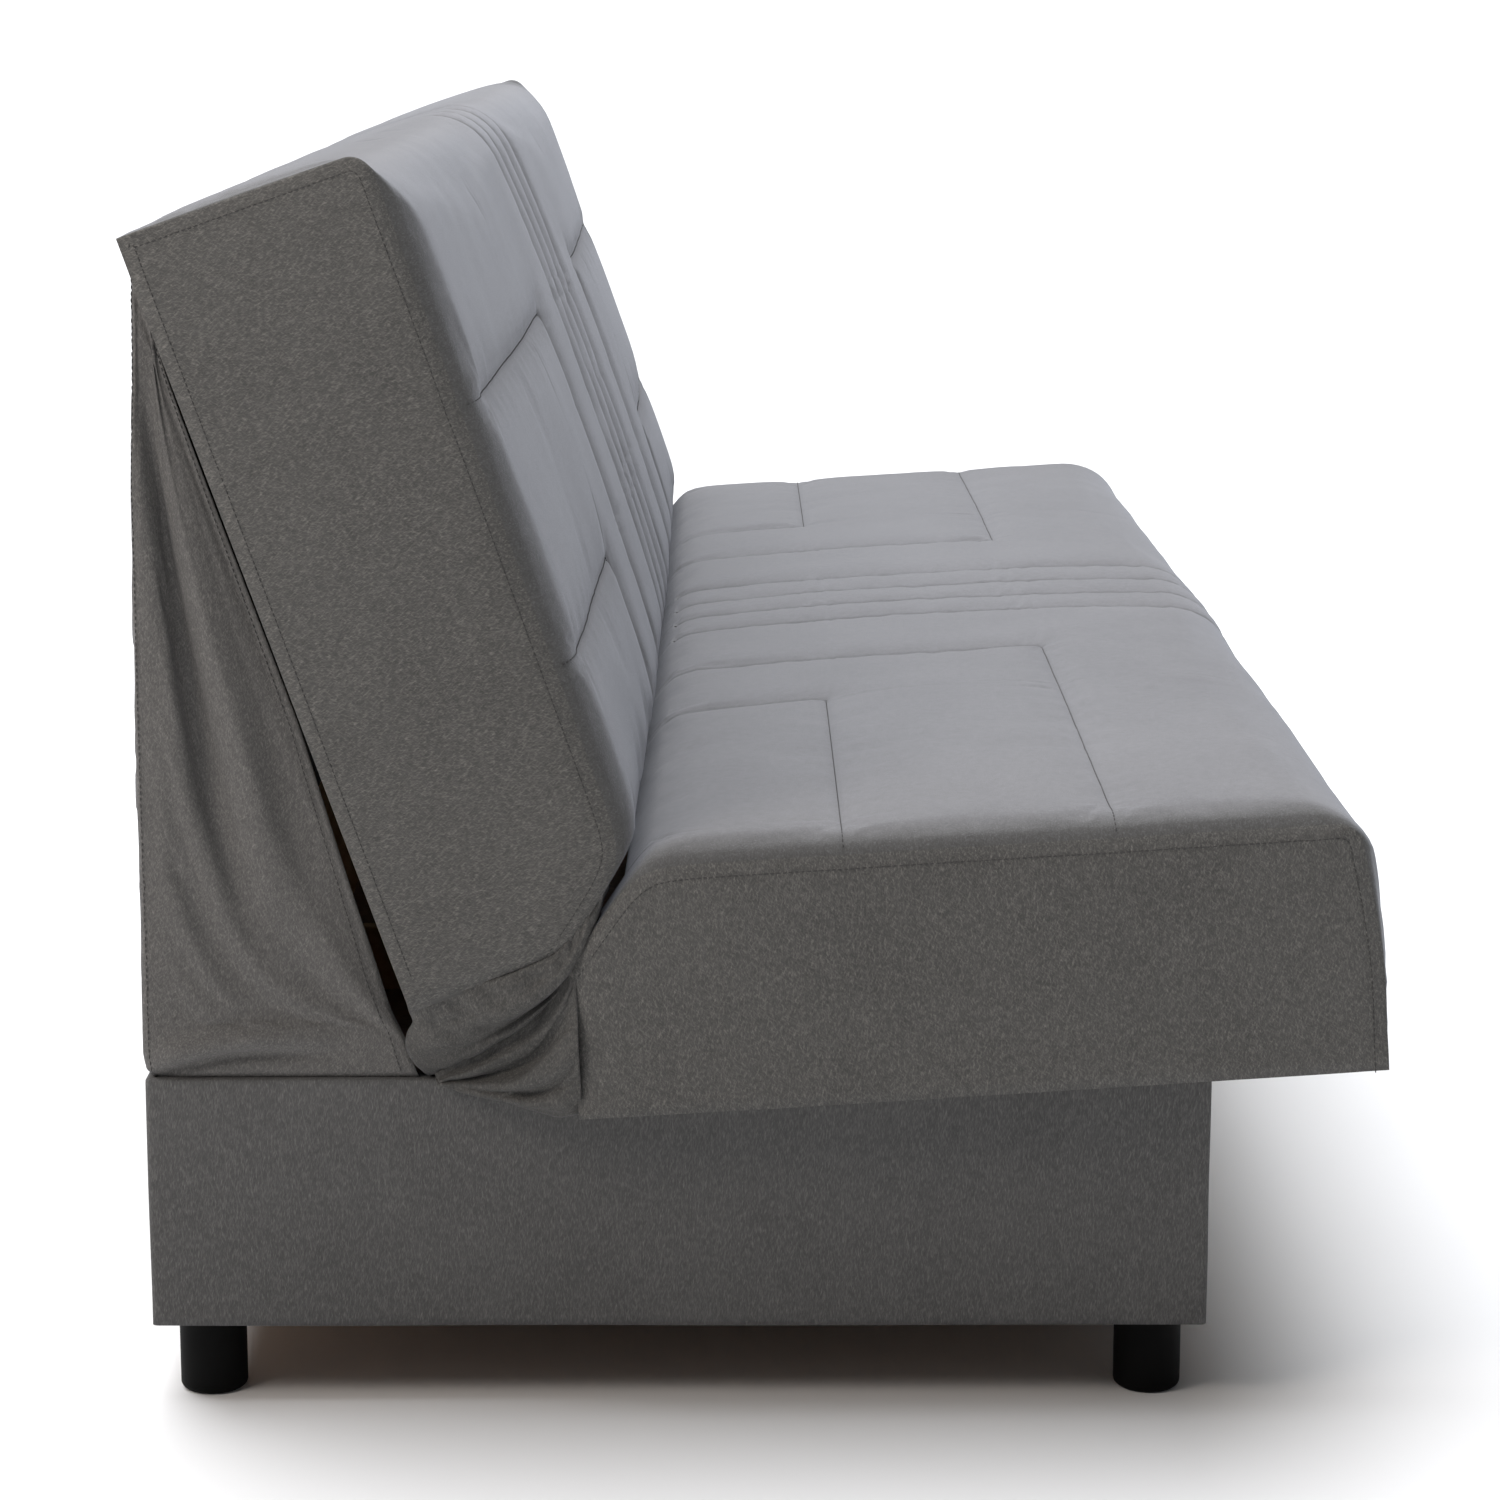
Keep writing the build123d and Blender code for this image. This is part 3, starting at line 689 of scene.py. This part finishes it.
def quilted(points, seed):
    """Top sheet with the quilting sewn in: a pinched groove, puckers beside it and a slow swell."""
    normal = np.gradient(points, axis=0)
    normal = np.stack([-normal[..., 2], normal[..., 1]], -1)
    normal /= np.linalg.norm(normal, axis=-1, keepdims=True) + 1e-9
    x, s, t = points[..., 0], points[..., 1], points[..., 2]
    d, along = quilt_distance(x, s, t)
    inside = seam_x - np.abs(x)
    fading_down = np.where(t < top_from, np.clip((t + 0.075) / 0.08, 0.15, 1), 1)
    shallow = np.clip((inside - 0.004) / 0.05, 0.12, 1) * fading_down
    groove = (0.0020 * hill(d, 0.0030) + 0.0022 * np.exp(-d / 0.016)) * shallow
    flat = points.reshape(-1, 3)
    beside_line = np.stack([along.ravel(), flat[:, 0] * 0.2, flat[:, 1] * 0.2], 1)
    ripple = cloth_noise(beside_line, 75, seed).reshape(d.shape)
    slow = cloth_noise(flat, 5.0, seed + 3).reshape(d.shape)
    quick = cloth_noise(flat, 19.0, seed + 5).reshape(d.shape)
    swell = limit(inside / 0.05) * (0.0016 * slow + 0.0006 * quick)
    shift = -groove + 0.0008 * ripple * np.exp(-d / 0.014) + swell
    shift[:edge_count - 1] = 0
    moved = points.copy()
    moved[..., 1] += normal[..., 0] * shift
    moved[..., 2] += normal[..., 1] * shift
    return moved


def end_panel(border, side, seed):
    """End panel: a patch stretched between its hub, top and front seams, swelling just inside them."""
    n_top = len(border) - 2 * (edge_count - 1)
    hub_side = border[:edge_count][::-1]
    top_side = border[edge_count - 1:edge_count - 1 + n_top]
    front_side = border[edge_count - 2 + n_top:]
    u = (top_side[:, 0] - top_side[0, 0]) / (top_side[-1, 0] - top_side[0, 0])
    low_side = hub_side[-1] + u[:, None] * (front_side[-1] - hub_side[-1])
    v = np.linspace(0, 1, edge_count)
    patch = np.zeros((edge_count, n_top, 3))
    for r in range(edge_count):
        for c in range(n_top):
            between_top_and_foot = (1 - v[r]) * top_side[c] + v[r] * low_side[c]
            between_ends = (1 - u[c]) * hub_side[r] + u[c] * front_side[r]
            counted_twice = (1 - u[c]) * ((1 - v[r]) * top_side[0] + v[r] * hub_side[-1])
            counted_twice = counted_twice + u[c] * ((1 - v[r]) * top_side[-1] + v[r] * front_side[-1])
            patch[r, c, 1:] = between_top_and_foot + between_ends - counted_twice
    inset = np.minimum.reduce([
        np.broadcast_to(u[None, :] * 0.55, patch.shape[:2]),
        np.broadcast_to((1 - u)[None, :] * 0.55, patch.shape[:2]),
        np.broadcast_to(v[:, None] * 0.17, patch.shape[:2]),
    ])
    inset = np.maximum(inset, limit(v[:, None] - 0.86) * 0.12)
    flat = patch.reshape(-1, 3)
    wave = cloth_noise(flat, 7.0, seed).reshape(inset.shape) * 0.0014
    patch[..., 0] = side * (seam_x + 0.0045 * (1 - np.exp(-inset / 0.012)) + wave * limit(inset / 0.04))
    return patch


def sewn_weights(points):
    """1 at seams, quilting and the wrapped underside, falling to 0 in the open padding."""
    x, s, t = points.T
    d, _ = quilt_distance(x, s, t)
    underside, hub_side = limit((-0.075 - t) / 0.03), limit((0.075 - s) / 0.03)
    weights = np.maximum.reduce([hill(d, 0.009), hill(seam_x - np.abs(x), 0.010), underside, hub_side])
    return np.where(weights > 0.02, weights, 0)


def cushion(name, half, bulge, lean_in, seed):
    """One quilted half with its stitches."""
    sheet = np.stack([half_section(x, bulge, lean_in) for x in columns], 1)
    sheet = np.concatenate([np.broadcast_to(columns[None, :, None], sheet.shape[:2] + (1,)), sheet], -1)
    sheet = quilted(sheet, seed)
    points, faces = [sheet.reshape(-1, 3)], grid_faces(*sheet.shape[:2])
    paint = [0] * len(faces)
    seams = []
    for side, column in ((-1, 0), (1, -1)):
        border = sheet[:, column, 1:]
        patch = end_panel(border, side, seed + side)
        more = grid_faces(*patch.shape[:2], sum(len(p) for p in points), side > 0)
        faces += more
        paint += [1] * len(more)
        points.append(patch.reshape(-1, 3))
        seams.append((side, border[edge_count - 1:]))
    piece = make_piece(name, np.concatenate(points), faces, [top_cloth, side_cloth], paint)
    settle(piece, sewn_weights(at_points(piece.data)), pressure=3, spare=0.006, bending=0.6, cap=0.0028)
    mark_flat_and_shade(piece)
    bpy.context.view_layer.update()
    tree = BVHTree.FromObject(piece, bpy.context.evaluated_depsgraph_get())
    paths = quilt_paths(tree)
    seams = [seam_path(tree, side, border, half == "back") for side, border in seams]
    close_underside(piece)
    finish_place(piece, half)
    stitches = sew(name + "_quilting", [place(np.array(p), half) for p in paths])
    seam_stitches = sew(name + "_seam", [place(p, half) for p in seams], 0.0042, 0.0016, 0.0004)
    print(name, len(piece.data.vertices), "points")
    return piece, stitches, seam_stitches


def mark_flat_and_shade(piece):
    """Store the flat cloth and two masks of painted shade: along the quilting grooves, and over the roll
    and towards both ends of the top sheet.
    """
    flat = at_points(piece.data)
    x, s, t = flat.T
    d, _ = quilt_distance(x, s, t)
    inside = seam_x - np.abs(x)
    sheet = limit((inside - 0.001) / 0.004) * (t > -0.1)
    note(piece, "flat", flat)
    # Painted shade along the quilting grooves, about 2 mm wide.
    note(piece, "crease_shade", 0.34 * hill(d, 0.0022) * sheet)
    # Painted shade over the roll at each end of the top sheet, fading faintly over about 0.16 m inwards.
    note(piece, "turned", np.maximum(limit(1 - inside / 0.030) ** 1.2, 0.22 * np.exp(-inside / 0.16)))


def seam_path(tree, side, border, with_foot):
    """Stitch line on an end panel, one seam allowance inside its border, and along its foot if asked."""
    seam_allowance, proud = 0.0095, 0.0002
    line = border
    if with_foot:
        foot = np.linspace(border[-1], (0.03, border[-1][1]), 60)[1:]
        line = np.concatenate([border, foot])
    step = np.gradient(line, axis=0)
    step /= np.linalg.norm(step, axis=1, keepdims=True) + 1e-9
    inner = line + np.stack([step[:, 1], -step[:, 0]], 1) * seam_allowance
    hits = [tree.ray_cast(Vector((side * 1.2, *p)), Vector((-side, 0, 0)))[0] for p in inner]
    return np.array([hit + Vector((side * proud, 0, 0)) for hit in hits if hit is not None])


def quilt_paths(tree):
    """The quilting lines laid on the settled cushion: over the top, and down the front for the middle four."""
    def drop(x, s):
        hit = tree.ray_cast(Vector((x, s, 0.3)), Vector((0, 0, -1)))[0]
        return hit + Vector((0, 0, 0.0002))

    def front(x, t):
        hit = tree.ray_cast(Vector((x, 0.9, t)), Vector((0, -1, 0)))[0]
        return hit + Vector((0, 0.0002, 0))

    paths = []
    for line in centre_lines:
        over = [drop(line, s) for s in np.linspace(quilt_start, outer_edge - 0.035, 90)]
        down = [front(line, t) for t in np.linspace(0.062, cover_foot + 0.006, 30)]
        paths.append(over + down)
    for side in (-1, 1):
        for leg, turn_at in corners:
            along = [drop(side * leg, s) for s in np.linspace(quilt_start, turn_at, 60)]
            out = [drop(side * x, turn_at) for x in np.linspace(leg, seam_x - 0.003, 90)]
            paths.append(along + out[1:])
    return paths


rail_inner_x, rail_inner_s = 0.9255, 0.5415
rail_outer_x, rail_outer_s = 0.9476, 0.5637


def close_underside(piece):
    """Wrap the open lower edge under the rails as a flat turn-in, back along their outer face, and close it."""
    bm = bmesh.new()
    bm.from_mesh(piece.data)
    rim = [e for e in bm.edges if e.is_boundary]
    wraps = (
        (rail_inner_x, rail_inner_s, 0.0185, 0.0),
        (rail_inner_x, rail_inner_s, 0.0185, 0.0014),
        (rail_outer_x, rail_outer_s, 0.0048, 0.0014),
        (rail_outer_x, rail_outer_s, 0.0048, 1.0),
    )
    for limit_x, limit_s, near_s, lift in wraps:
        new = bmesh.ops.extrude_edge_only(bm, edges=rim)["geom"]
        for v in (g for g in new if isinstance(g, bmesh.types.BMVert)):
            if abs(v.co.x) < hub_pocket_x - 0.001 and v.co.y < 0.2:
                v.co.y = max(v.co.y, hub_pocket_depth + 0.002)
                v.co.z = max(v.co.z, pad_foot + min(lift, 0.001))
                continue
            if abs(v.co.x) > 0.92 and (limit_x < abs(v.co.x) or lift > 0.001):
                v.co.x = math.copysign(limit_x, v.co.x)
            if v.co.y > 0.5:
                v.co.y = limit_s
            elif v.co.y < 0.03:
                v.co.y = near_s
            v.co.z = pad_foot + 0.001 if lift == 1.0 else cover_foot + lift
        rim = [g for g in new if isinstance(g, bmesh.types.BMEdge)]
    bmesh.ops.contextual_create(bm, geom=rim)
    bmesh.ops.recalc_face_normals(bm, faces=bm.faces)
    bm.to_mesh(piece.data)
    bm.free()


def finish_place(piece, half):
    """Move a flat piece's mesh to where its half is at rest."""
    piece.data.transform(turn[half])
    if turn[half].determinant() < 0:
        piece.data.flip_normals()
    piece.data.update()


for half, lean_in, seed in (("seat", 0.010, 11), ("back", 0.0, 23)):
    mattress, *threads = cushion(f"{half}_mattress", half, 0.013, lean_in, seed)
    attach(mattress, half)
    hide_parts(f"{half}_cushion", f"{half}_corner_roll", f"{half}_skirt")
    for row in threads:
        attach(row, half)

# %% [markdown]
# ## The box cover
# The box is wrapped in one strip of the same cloth, pulled round soft corners, folded over the top edge and
# stapled under the bottom. Its lower edge is never quite straight.

# %% Box cover
def box_cover():
    """Strip round the box with rounded corners and a turned-in top."""
    low, high = box_low, box_high
    height = high.z - low.z
    corner, arc_steps, step_length = 0.0045, 7, 0.02
    ring = []
    for cx, cy, start in (
        (high.x - corner, high.y - corner, 0), (low.x + corner, high.y - corner, 90),
        (low.x + corner, low.y + corner, 180), (high.x - corner, low.y + corner, 270),
    ):
        for k in range(arc_steps):
            a = math.radians(start + k * 15)
            ring.append((cx + corner * math.cos(a), cy + corner * math.sin(a), math.cos(a), math.sin(a)))
    dense = []
    for a, b in zip(ring, ring[1:] + ring[:1]):
        steps = max(1, int(math.hypot(b[0] - a[0], b[1] - a[1]) / step_length))
        dense += [tuple(a[i] + (b[i] - a[i]) * k / steps for i in range(4)) for k in range(steps)]
    turn_in = ((0.0, -0.003), (-0.0001, -0.0006), (-0.0008, 0.0006), (-0.0025, 0.0011), (-0.0165, 0.0009))
    rises = [(-0.0035, 0.002), (0.0, 0.0), (0.0, 0.006)]
    rises += [(0.0, z) for z in np.linspace(0.016, height - 0.012, 16)]
    rises += [(inset, height + over) for inset, over in turn_in]
    points = []
    for inset, z in rises:
        for x, y, nx, ny in dense:
            share = z / height
            wave = noise.noise(Vector((x * 4, y * 4, 1.5))) * 0.0022 * (1 - share)
            soft = noise.noise(Vector((x * 6, y * 6, z * 9))) * 0.0011 * math.sin(math.pi * min(1, share))
            out = inset + soft
            points.append((x + nx * out, y + ny * out, low.z + z + (wave if z < 0.004 else 0)))
    n = len(dense)
    faces = []
    for r in range(len(rises) - 1):
        for c in range(n):
            a, b = r * n + c, r * n + (c + 1) % n
            faces.append((a, b, b + n, a + n))
    piece = make_piece("box_cover", points, faces, [box_cloth])
    note(piece, "flat", at_points(piece.data))
    thicken(piece, 0.0016, -1)
    return piece


cover = box_cover()
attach(cover, "base")
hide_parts("box_skin")

# %% [markdown]
# ## The rear curtain
# A loose cloth hangs from the back's upper edge to the box, so that nobody sees the slats and the hub. It turns
# both rear corners and ends in a stitched hem just behind the back's end panel. It has spare width, which
# falls in one deep fold and a soft ridge at each end, and it is tucked in at the foot, where it puffs out.

# %% Curtain outline
def by_table(z, table):
    """Value at a height from a table of (height, value)."""
    heights, values = zip(*table)
    return np.interp(z, heights, values)


curtain_low, curtain_high = (Vector(p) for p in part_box("rear_curtain"))
curtain_foot = curtain_low.z - 0.0001
curtain_top = curtain_high.z + 0.004
wing_x = curtain_high.x - 0.0005
fall_y = curtain_high.y + 0.0005
wing_steps, fall_steps = 44, 190
upper_rows, foot_rows, foot_height = 96, 25, 0.045


def hem_y(z):
    """Hem of a wing: the back's rear face and a gap that opens towards the foot."""
    rise = (z - hub.z - cover_foot * math.cos(recline)) / math.sin(recline)
    face = hub.y + rise * math.cos(recline) - cover_foot * math.sin(recline)
    return face + 0.0032 + 0.015 * limit((0.49 - z) / 0.24)


rear_edge = (
    (0.2384, -0.004), (0.2405, -0.003), (0.2445, 0.0010), (0.256, 0.0024),
    (0.50, 0.0012), (0.66, -0.001), (0.72, -0.004), (0.81, -0.006),
)
valley = ((0.24, 0.350), (0.374, 0.362), (0.444, 0.384), (0.578, 0.400), (0.714, 0.418), (0.81, 0.4255))
ridge = ((0.24, 0.318), (0.452, 0.352), (0.517, 0.362), (0.637, 0.393), (0.745, 0.4215), (0.81, 0.4265))
outer_ridge = ((0.24, 0.405), (0.444, 0.410), (0.578, 0.417), (0.714, 0.427), (0.81, 0.428))


def wing_fold(y, z):
    """How far the wing stands out from its plane."""
    fade = limit((z - 0.285) / 0.10) * limit((0.79 - z) / 0.14)
    from_valley, from_ridge = y - by_table(z, valley), y - by_table(z, ridge)
    valley_width = np.where(from_valley > 0, 0.008, 0.013)
    hollow = -0.014 * limit((z - 0.33) / 0.14) * hill(from_valley, valley_width)
    crest = 0.007 * hill(from_ridge, 0.020) + 0.003 * hill(y - by_table(z, outer_ridge), 0.011)
    second = -0.003 * hill(from_ridge + 0.022, 0.014) * limit((0.62 - z) / 0.2)
    from_rear = fall_y - y
    strength = limit(from_rear / 0.02) * limit((0.140 - from_rear) / 0.06)
    arch = curtain_foot + 0.002 + 0.018 * np.sin(limit(from_rear / 0.085) * math.pi / 2)
    puff = 0.0085 * strength * hill(z - arch - 0.010, 0.0095)
    puff = puff - 0.0045 * strength * hill(z - arch + 0.002, 0.0045)
    tuck = -0.0012 - 0.0022 * limit((curtain_foot + 0.0045 - z) / 0.003)
    return (hollow + crest + second) * fade + puff + tuck


# %% Curtain mesh
def curtain():
    """Wing, rear fall and wing in one grid of points from hem to hem."""
    near_foot = curtain_foot + foot_height
    foot = np.linspace(near_foot, curtain_foot, foot_rows + 1)[1:]
    heights = np.concatenate([np.linspace(curtain_top, near_foot, upper_rows), foot])
    grid = []
    for z in heights:
        high_y = fall_y + by_table(z, rear_edge)
        low_y = min(hem_y(z), high_y - 0.004)
        y = low_y + (high_y - low_y) * np.linspace(0, 1, wing_steps)
        out = wing_fold(y, np.full(wing_steps, z))
        hem = -0.0009 * hill(y - low_y - 0.0065, 0.0014)
        seam = -0.0010 * hill(high_y - y - 0.0045, 0.0014)
        round_off = 0.004 * limit((y - high_y + 0.004) / 0.004) ** 2
        wing = np.stack([wing_x + out + hem + seam - round_off, y, np.full(wing_steps, z)], 1)
        x = np.linspace(-1, 1, fall_steps + 2)[1:-1] * (wing_x - 0.004)
        down = (curtain_top - z) / (curtain_top - curtain_foot)
        sway = np.array([noise.noise(Vector((v * 9, 4.0, z * 2.2))) for v in x])
        slack = math.sin(math.pi * min(1, down * 1.02))
        wave = np.sin(x * 23 + 1.2 * np.sin(x * 5 + 2.0 * down)) * 0.004 * slack
        wave = wave + sway * 0.006 * math.sin(math.pi * down)
        fall = np.stack([x, high_y + wave * limit((wing_x - np.abs(x)) / 0.06), np.full(fall_steps, z)], 1)
        grid.append(np.concatenate([wing * (-1, 1, 1), fall, wing[::-1]]))
    grid = np.array(grid)
    rows, cols = grid.shape[:2]
    piece = make_piece("rear_curtain_cloth", grid.reshape(-1, 3), grid_faces(rows, cols), [curtain_cloth])
    area = sum(face.area for face in piece.data.polygons)
    points = at_points(piece.data)
    note(piece, "flat", points)
    held_top = limit((points[:, 2] - curtain_top + 0.02) / 0.012)
    held_foot = limit((curtain_foot + 0.055 - points[:, 2]) / 0.045)
    corner = hill(np.abs(points[:, 0]) - wing_x, 0.012) * (points[:, 1] > fall_y - 0.02)
    pins = np.maximum.reduce([held_top, held_foot, 0.6 * corner])
    settle(piece, pins, spare=0.010, bending=1.2, cap=0.005, frames=16, gravity=0.6)
    return piece, area, at_points(piece.data).reshape(rows, cols, 3)


curtain_piece, curtain_area, curtain_grid = curtain()


def outwards(strip, by):
    """Points moved away from the sofa's middle, so that thread lies on the cloth."""
    return strip + np.array([math.copysign(by, strip[0, 0]), 0, 0])


lines = []
for column, step in ((0, 1), (-1, -1)):
    strip = curtain_grid[4:-4, column]
    inner = curtain_grid[4:-4, column + 3 * step]
    lines.append(outwards(strip + (inner - strip) * 0.8, 0.0009))
for column in (wing_steps - 2, -wing_steps + 1):
    lines.append(outwards(curtain_grid[2:-4, column], 0.0008))
curtain_thread = sew("rear_curtain_stitches", lines, 0.0045, 0.0017, 0.0004)
thicken(curtain_piece, 0.0014, -1)
for piece in (curtain_piece, curtain_thread):
    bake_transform(piece)
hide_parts("rear_curtain")
print("curtain", round(curtain_area, 3), "m2")

# %% [markdown]
# ## The hub gussets
# Where the two halves meet, a cloth gusset is sewn to the end panel of each half. Sitting up, both gussets have
# far too much cloth, so they bulge, and their folds fan out from the rear point where they are caught together.
# Each is a patch stretched between two edges, with a few folds drawn along it before it settles. Its colour
# carries painted shade, darkest towards the valley between the two gussets.

# %% Gusset patches
def rounded(points, shares):
    """Points at shares of the length of a path, with the path's corners softened."""
    points = np.array(points)
    lengths = np.concatenate([[0], np.cumsum(np.linalg.norm(np.diff(points, axis=0), axis=1))])
    line = np.stack([np.interp(shares * lengths[-1], lengths, axis) for axis in points.T], 1)
    for _ in range(6):
        line[1:-1] = 0.25 * line[:-2] + 0.5 * line[1:-1] + 0.25 * line[2:]
    return line


def gusset(name, upper, lower, folds, profile, shade, half, seed, hang=0.0):
    """Folded patch at both ends; upper and lower are (outward, y, z) edges from the seam to the caught point."""
    u = np.linspace(0, 1, 56)
    v = np.linspace(0, 1, 44)
    top, bottom = rounded(upper, u), rounded(lower, u)
    fading = np.sin(math.pi * np.clip(u, 0.02, 1)) ** 0.6
    points = []
    for side in (-1, 1):
        patch = top[None] + (bottom - top)[None] * v[:, None, None]
        wrinkle = sum(size * hill(v[:, None] - at - lean * u, width) * fading for size, at, lean, width in folds)
        patch[..., 0] += profile(u[None, :], v[:, None]) + wrinkle
        grain = cloth_noise(patch.reshape(-1, 3), 38, seed + side).reshape(patch.shape[:2])
        patch[..., 0] += 0.0016 * grain * np.sin(math.pi * u)[None, :]
        sag = 0.013 * hill(v - 0.55, 0.28) - 0.004 * hill(v - 0.20, 0.08)
        patch[..., 1] += hang * u[None, :] ** 5 * sag[:, None]
        patch[..., 0] -= hang * 0.014 * u ** 9
        patch[..., 0] *= side
        points.append(patch.reshape(-1, 3))
    faces = grid_faces(len(v), len(u)) + grid_faces(len(v), len(u), len(v) * len(u), True)
    piece = make_piece(name, np.concatenate(points), faces, [side_cloth], merge=1e-7)
    across, shares = (np.tile(a.ravel(), 2) for a in np.meshgrid(v, u, indexing="ij"))
    pins = limit(1 - np.minimum.reduce([shares, across, 1 - across]) / 0.07)
    settle(piece, pins, spare=0.05, bending=0.3, cap=0.006, frames=12, pressure=0.4, gravity=0.3)
    note(piece, "flat", at_points(piece.data))
    # Painted shade: the gusset's colour darkens by these amounts where it lies in shade in the valley between
    # the halves.
    note(piece, "crease_shade", shade(shares, across))
    thicken(piece, 0.0014, 0)
    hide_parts(f"{half}_gussets")
    return piece


seam_out = seam_x + 0.0009
seat_upper = (
    (seam_out, 0.1300, 0.3480), (0.947, 0.1400, 0.3200), (0.942, 0.1530, 0.2990),
    (0.938, 0.1700, 0.2840), (0.934, 0.1980, 0.2640), (0.930, 0.2290, 0.2440),
)
seat_lower = (
    (seam_out, 0.1255, 0.2205), (0.946, 0.1420, 0.2168), (0.940, 0.1660, 0.2220),
    (0.932, 0.1950, 0.2300), (0.926, 0.2220, 0.2390), (0.924, 0.2290, 0.2415),
)
back_upper = (
    (0.940, 0.1080, 0.3910), (seam_out, 0.1410, 0.3378), (seam_out, 0.1750, 0.3228),
    (seam_out, 0.2090, 0.3116), (seam_out, 0.2460, 0.2992),
)
back_lower = (
    (0.926, 0.1060, 0.3810), (0.925, 0.1290, 0.3290), (0.922, 0.1460, 0.3010),
    (0.920, 0.1640, 0.2840), (0.918, 0.1940, 0.2600), (0.918, 0.2310, 0.2385),
)
# Each fold is its height, its place across the patch, its lean and its width.
seat_folds = (
    (0.007, 0.12, 0.22, 0.10), (-0.009, 0.38, 0.16, 0.09), (0.007, 0.60, 0.04, 0.10),
    (-0.005, 0.80, -0.14, 0.07), (0.004, 0.92, -0.22, 0.07),
)
back_folds = (
    (-0.004, 0.22, 0.10, 0.07), (0.006, 0.42, 0.08, 0.14),
    (-0.006, 0.66, 0.04, 0.06), (0.006, 0.82, 0.02, 0.08),
)
seat_gusset = gusset(
    "seat_gusset_cloth", seat_upper, seat_lower, seat_folds,
    lambda u, v: (
        0.006 * np.sin(math.pi * v) * (1 - 0.4 * u) - 0.010 * (1 - v) ** 3 - 0.012 * limit(v - 0.86) * 6
    ),
    # Painted shade on the seat gusset: darker towards the caught point and along its upper edge.
    lambda u, v: 0.25 + 0.35 * u + 0.3 * hill(v, 0.15),
    "seat", 41,
)
back_gusset = gusset(
    "back_gusset_cloth", back_upper, back_lower, back_folds,
    lambda u, v: 0.015 * np.sin(math.pi * v) ** 0.8 * np.sin(math.pi * limit(0.12 + 0.80 * u)),
    # Painted shade on the back gusset: darker towards its lower edge.
    lambda u, v: 0.30 + 0.55 * limit((v - 0.45) / 0.5),
    "back", 57, hang=1.0,
)
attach(seat_gusset, "seat")
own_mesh(seat_gusset)
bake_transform(back_gusset)
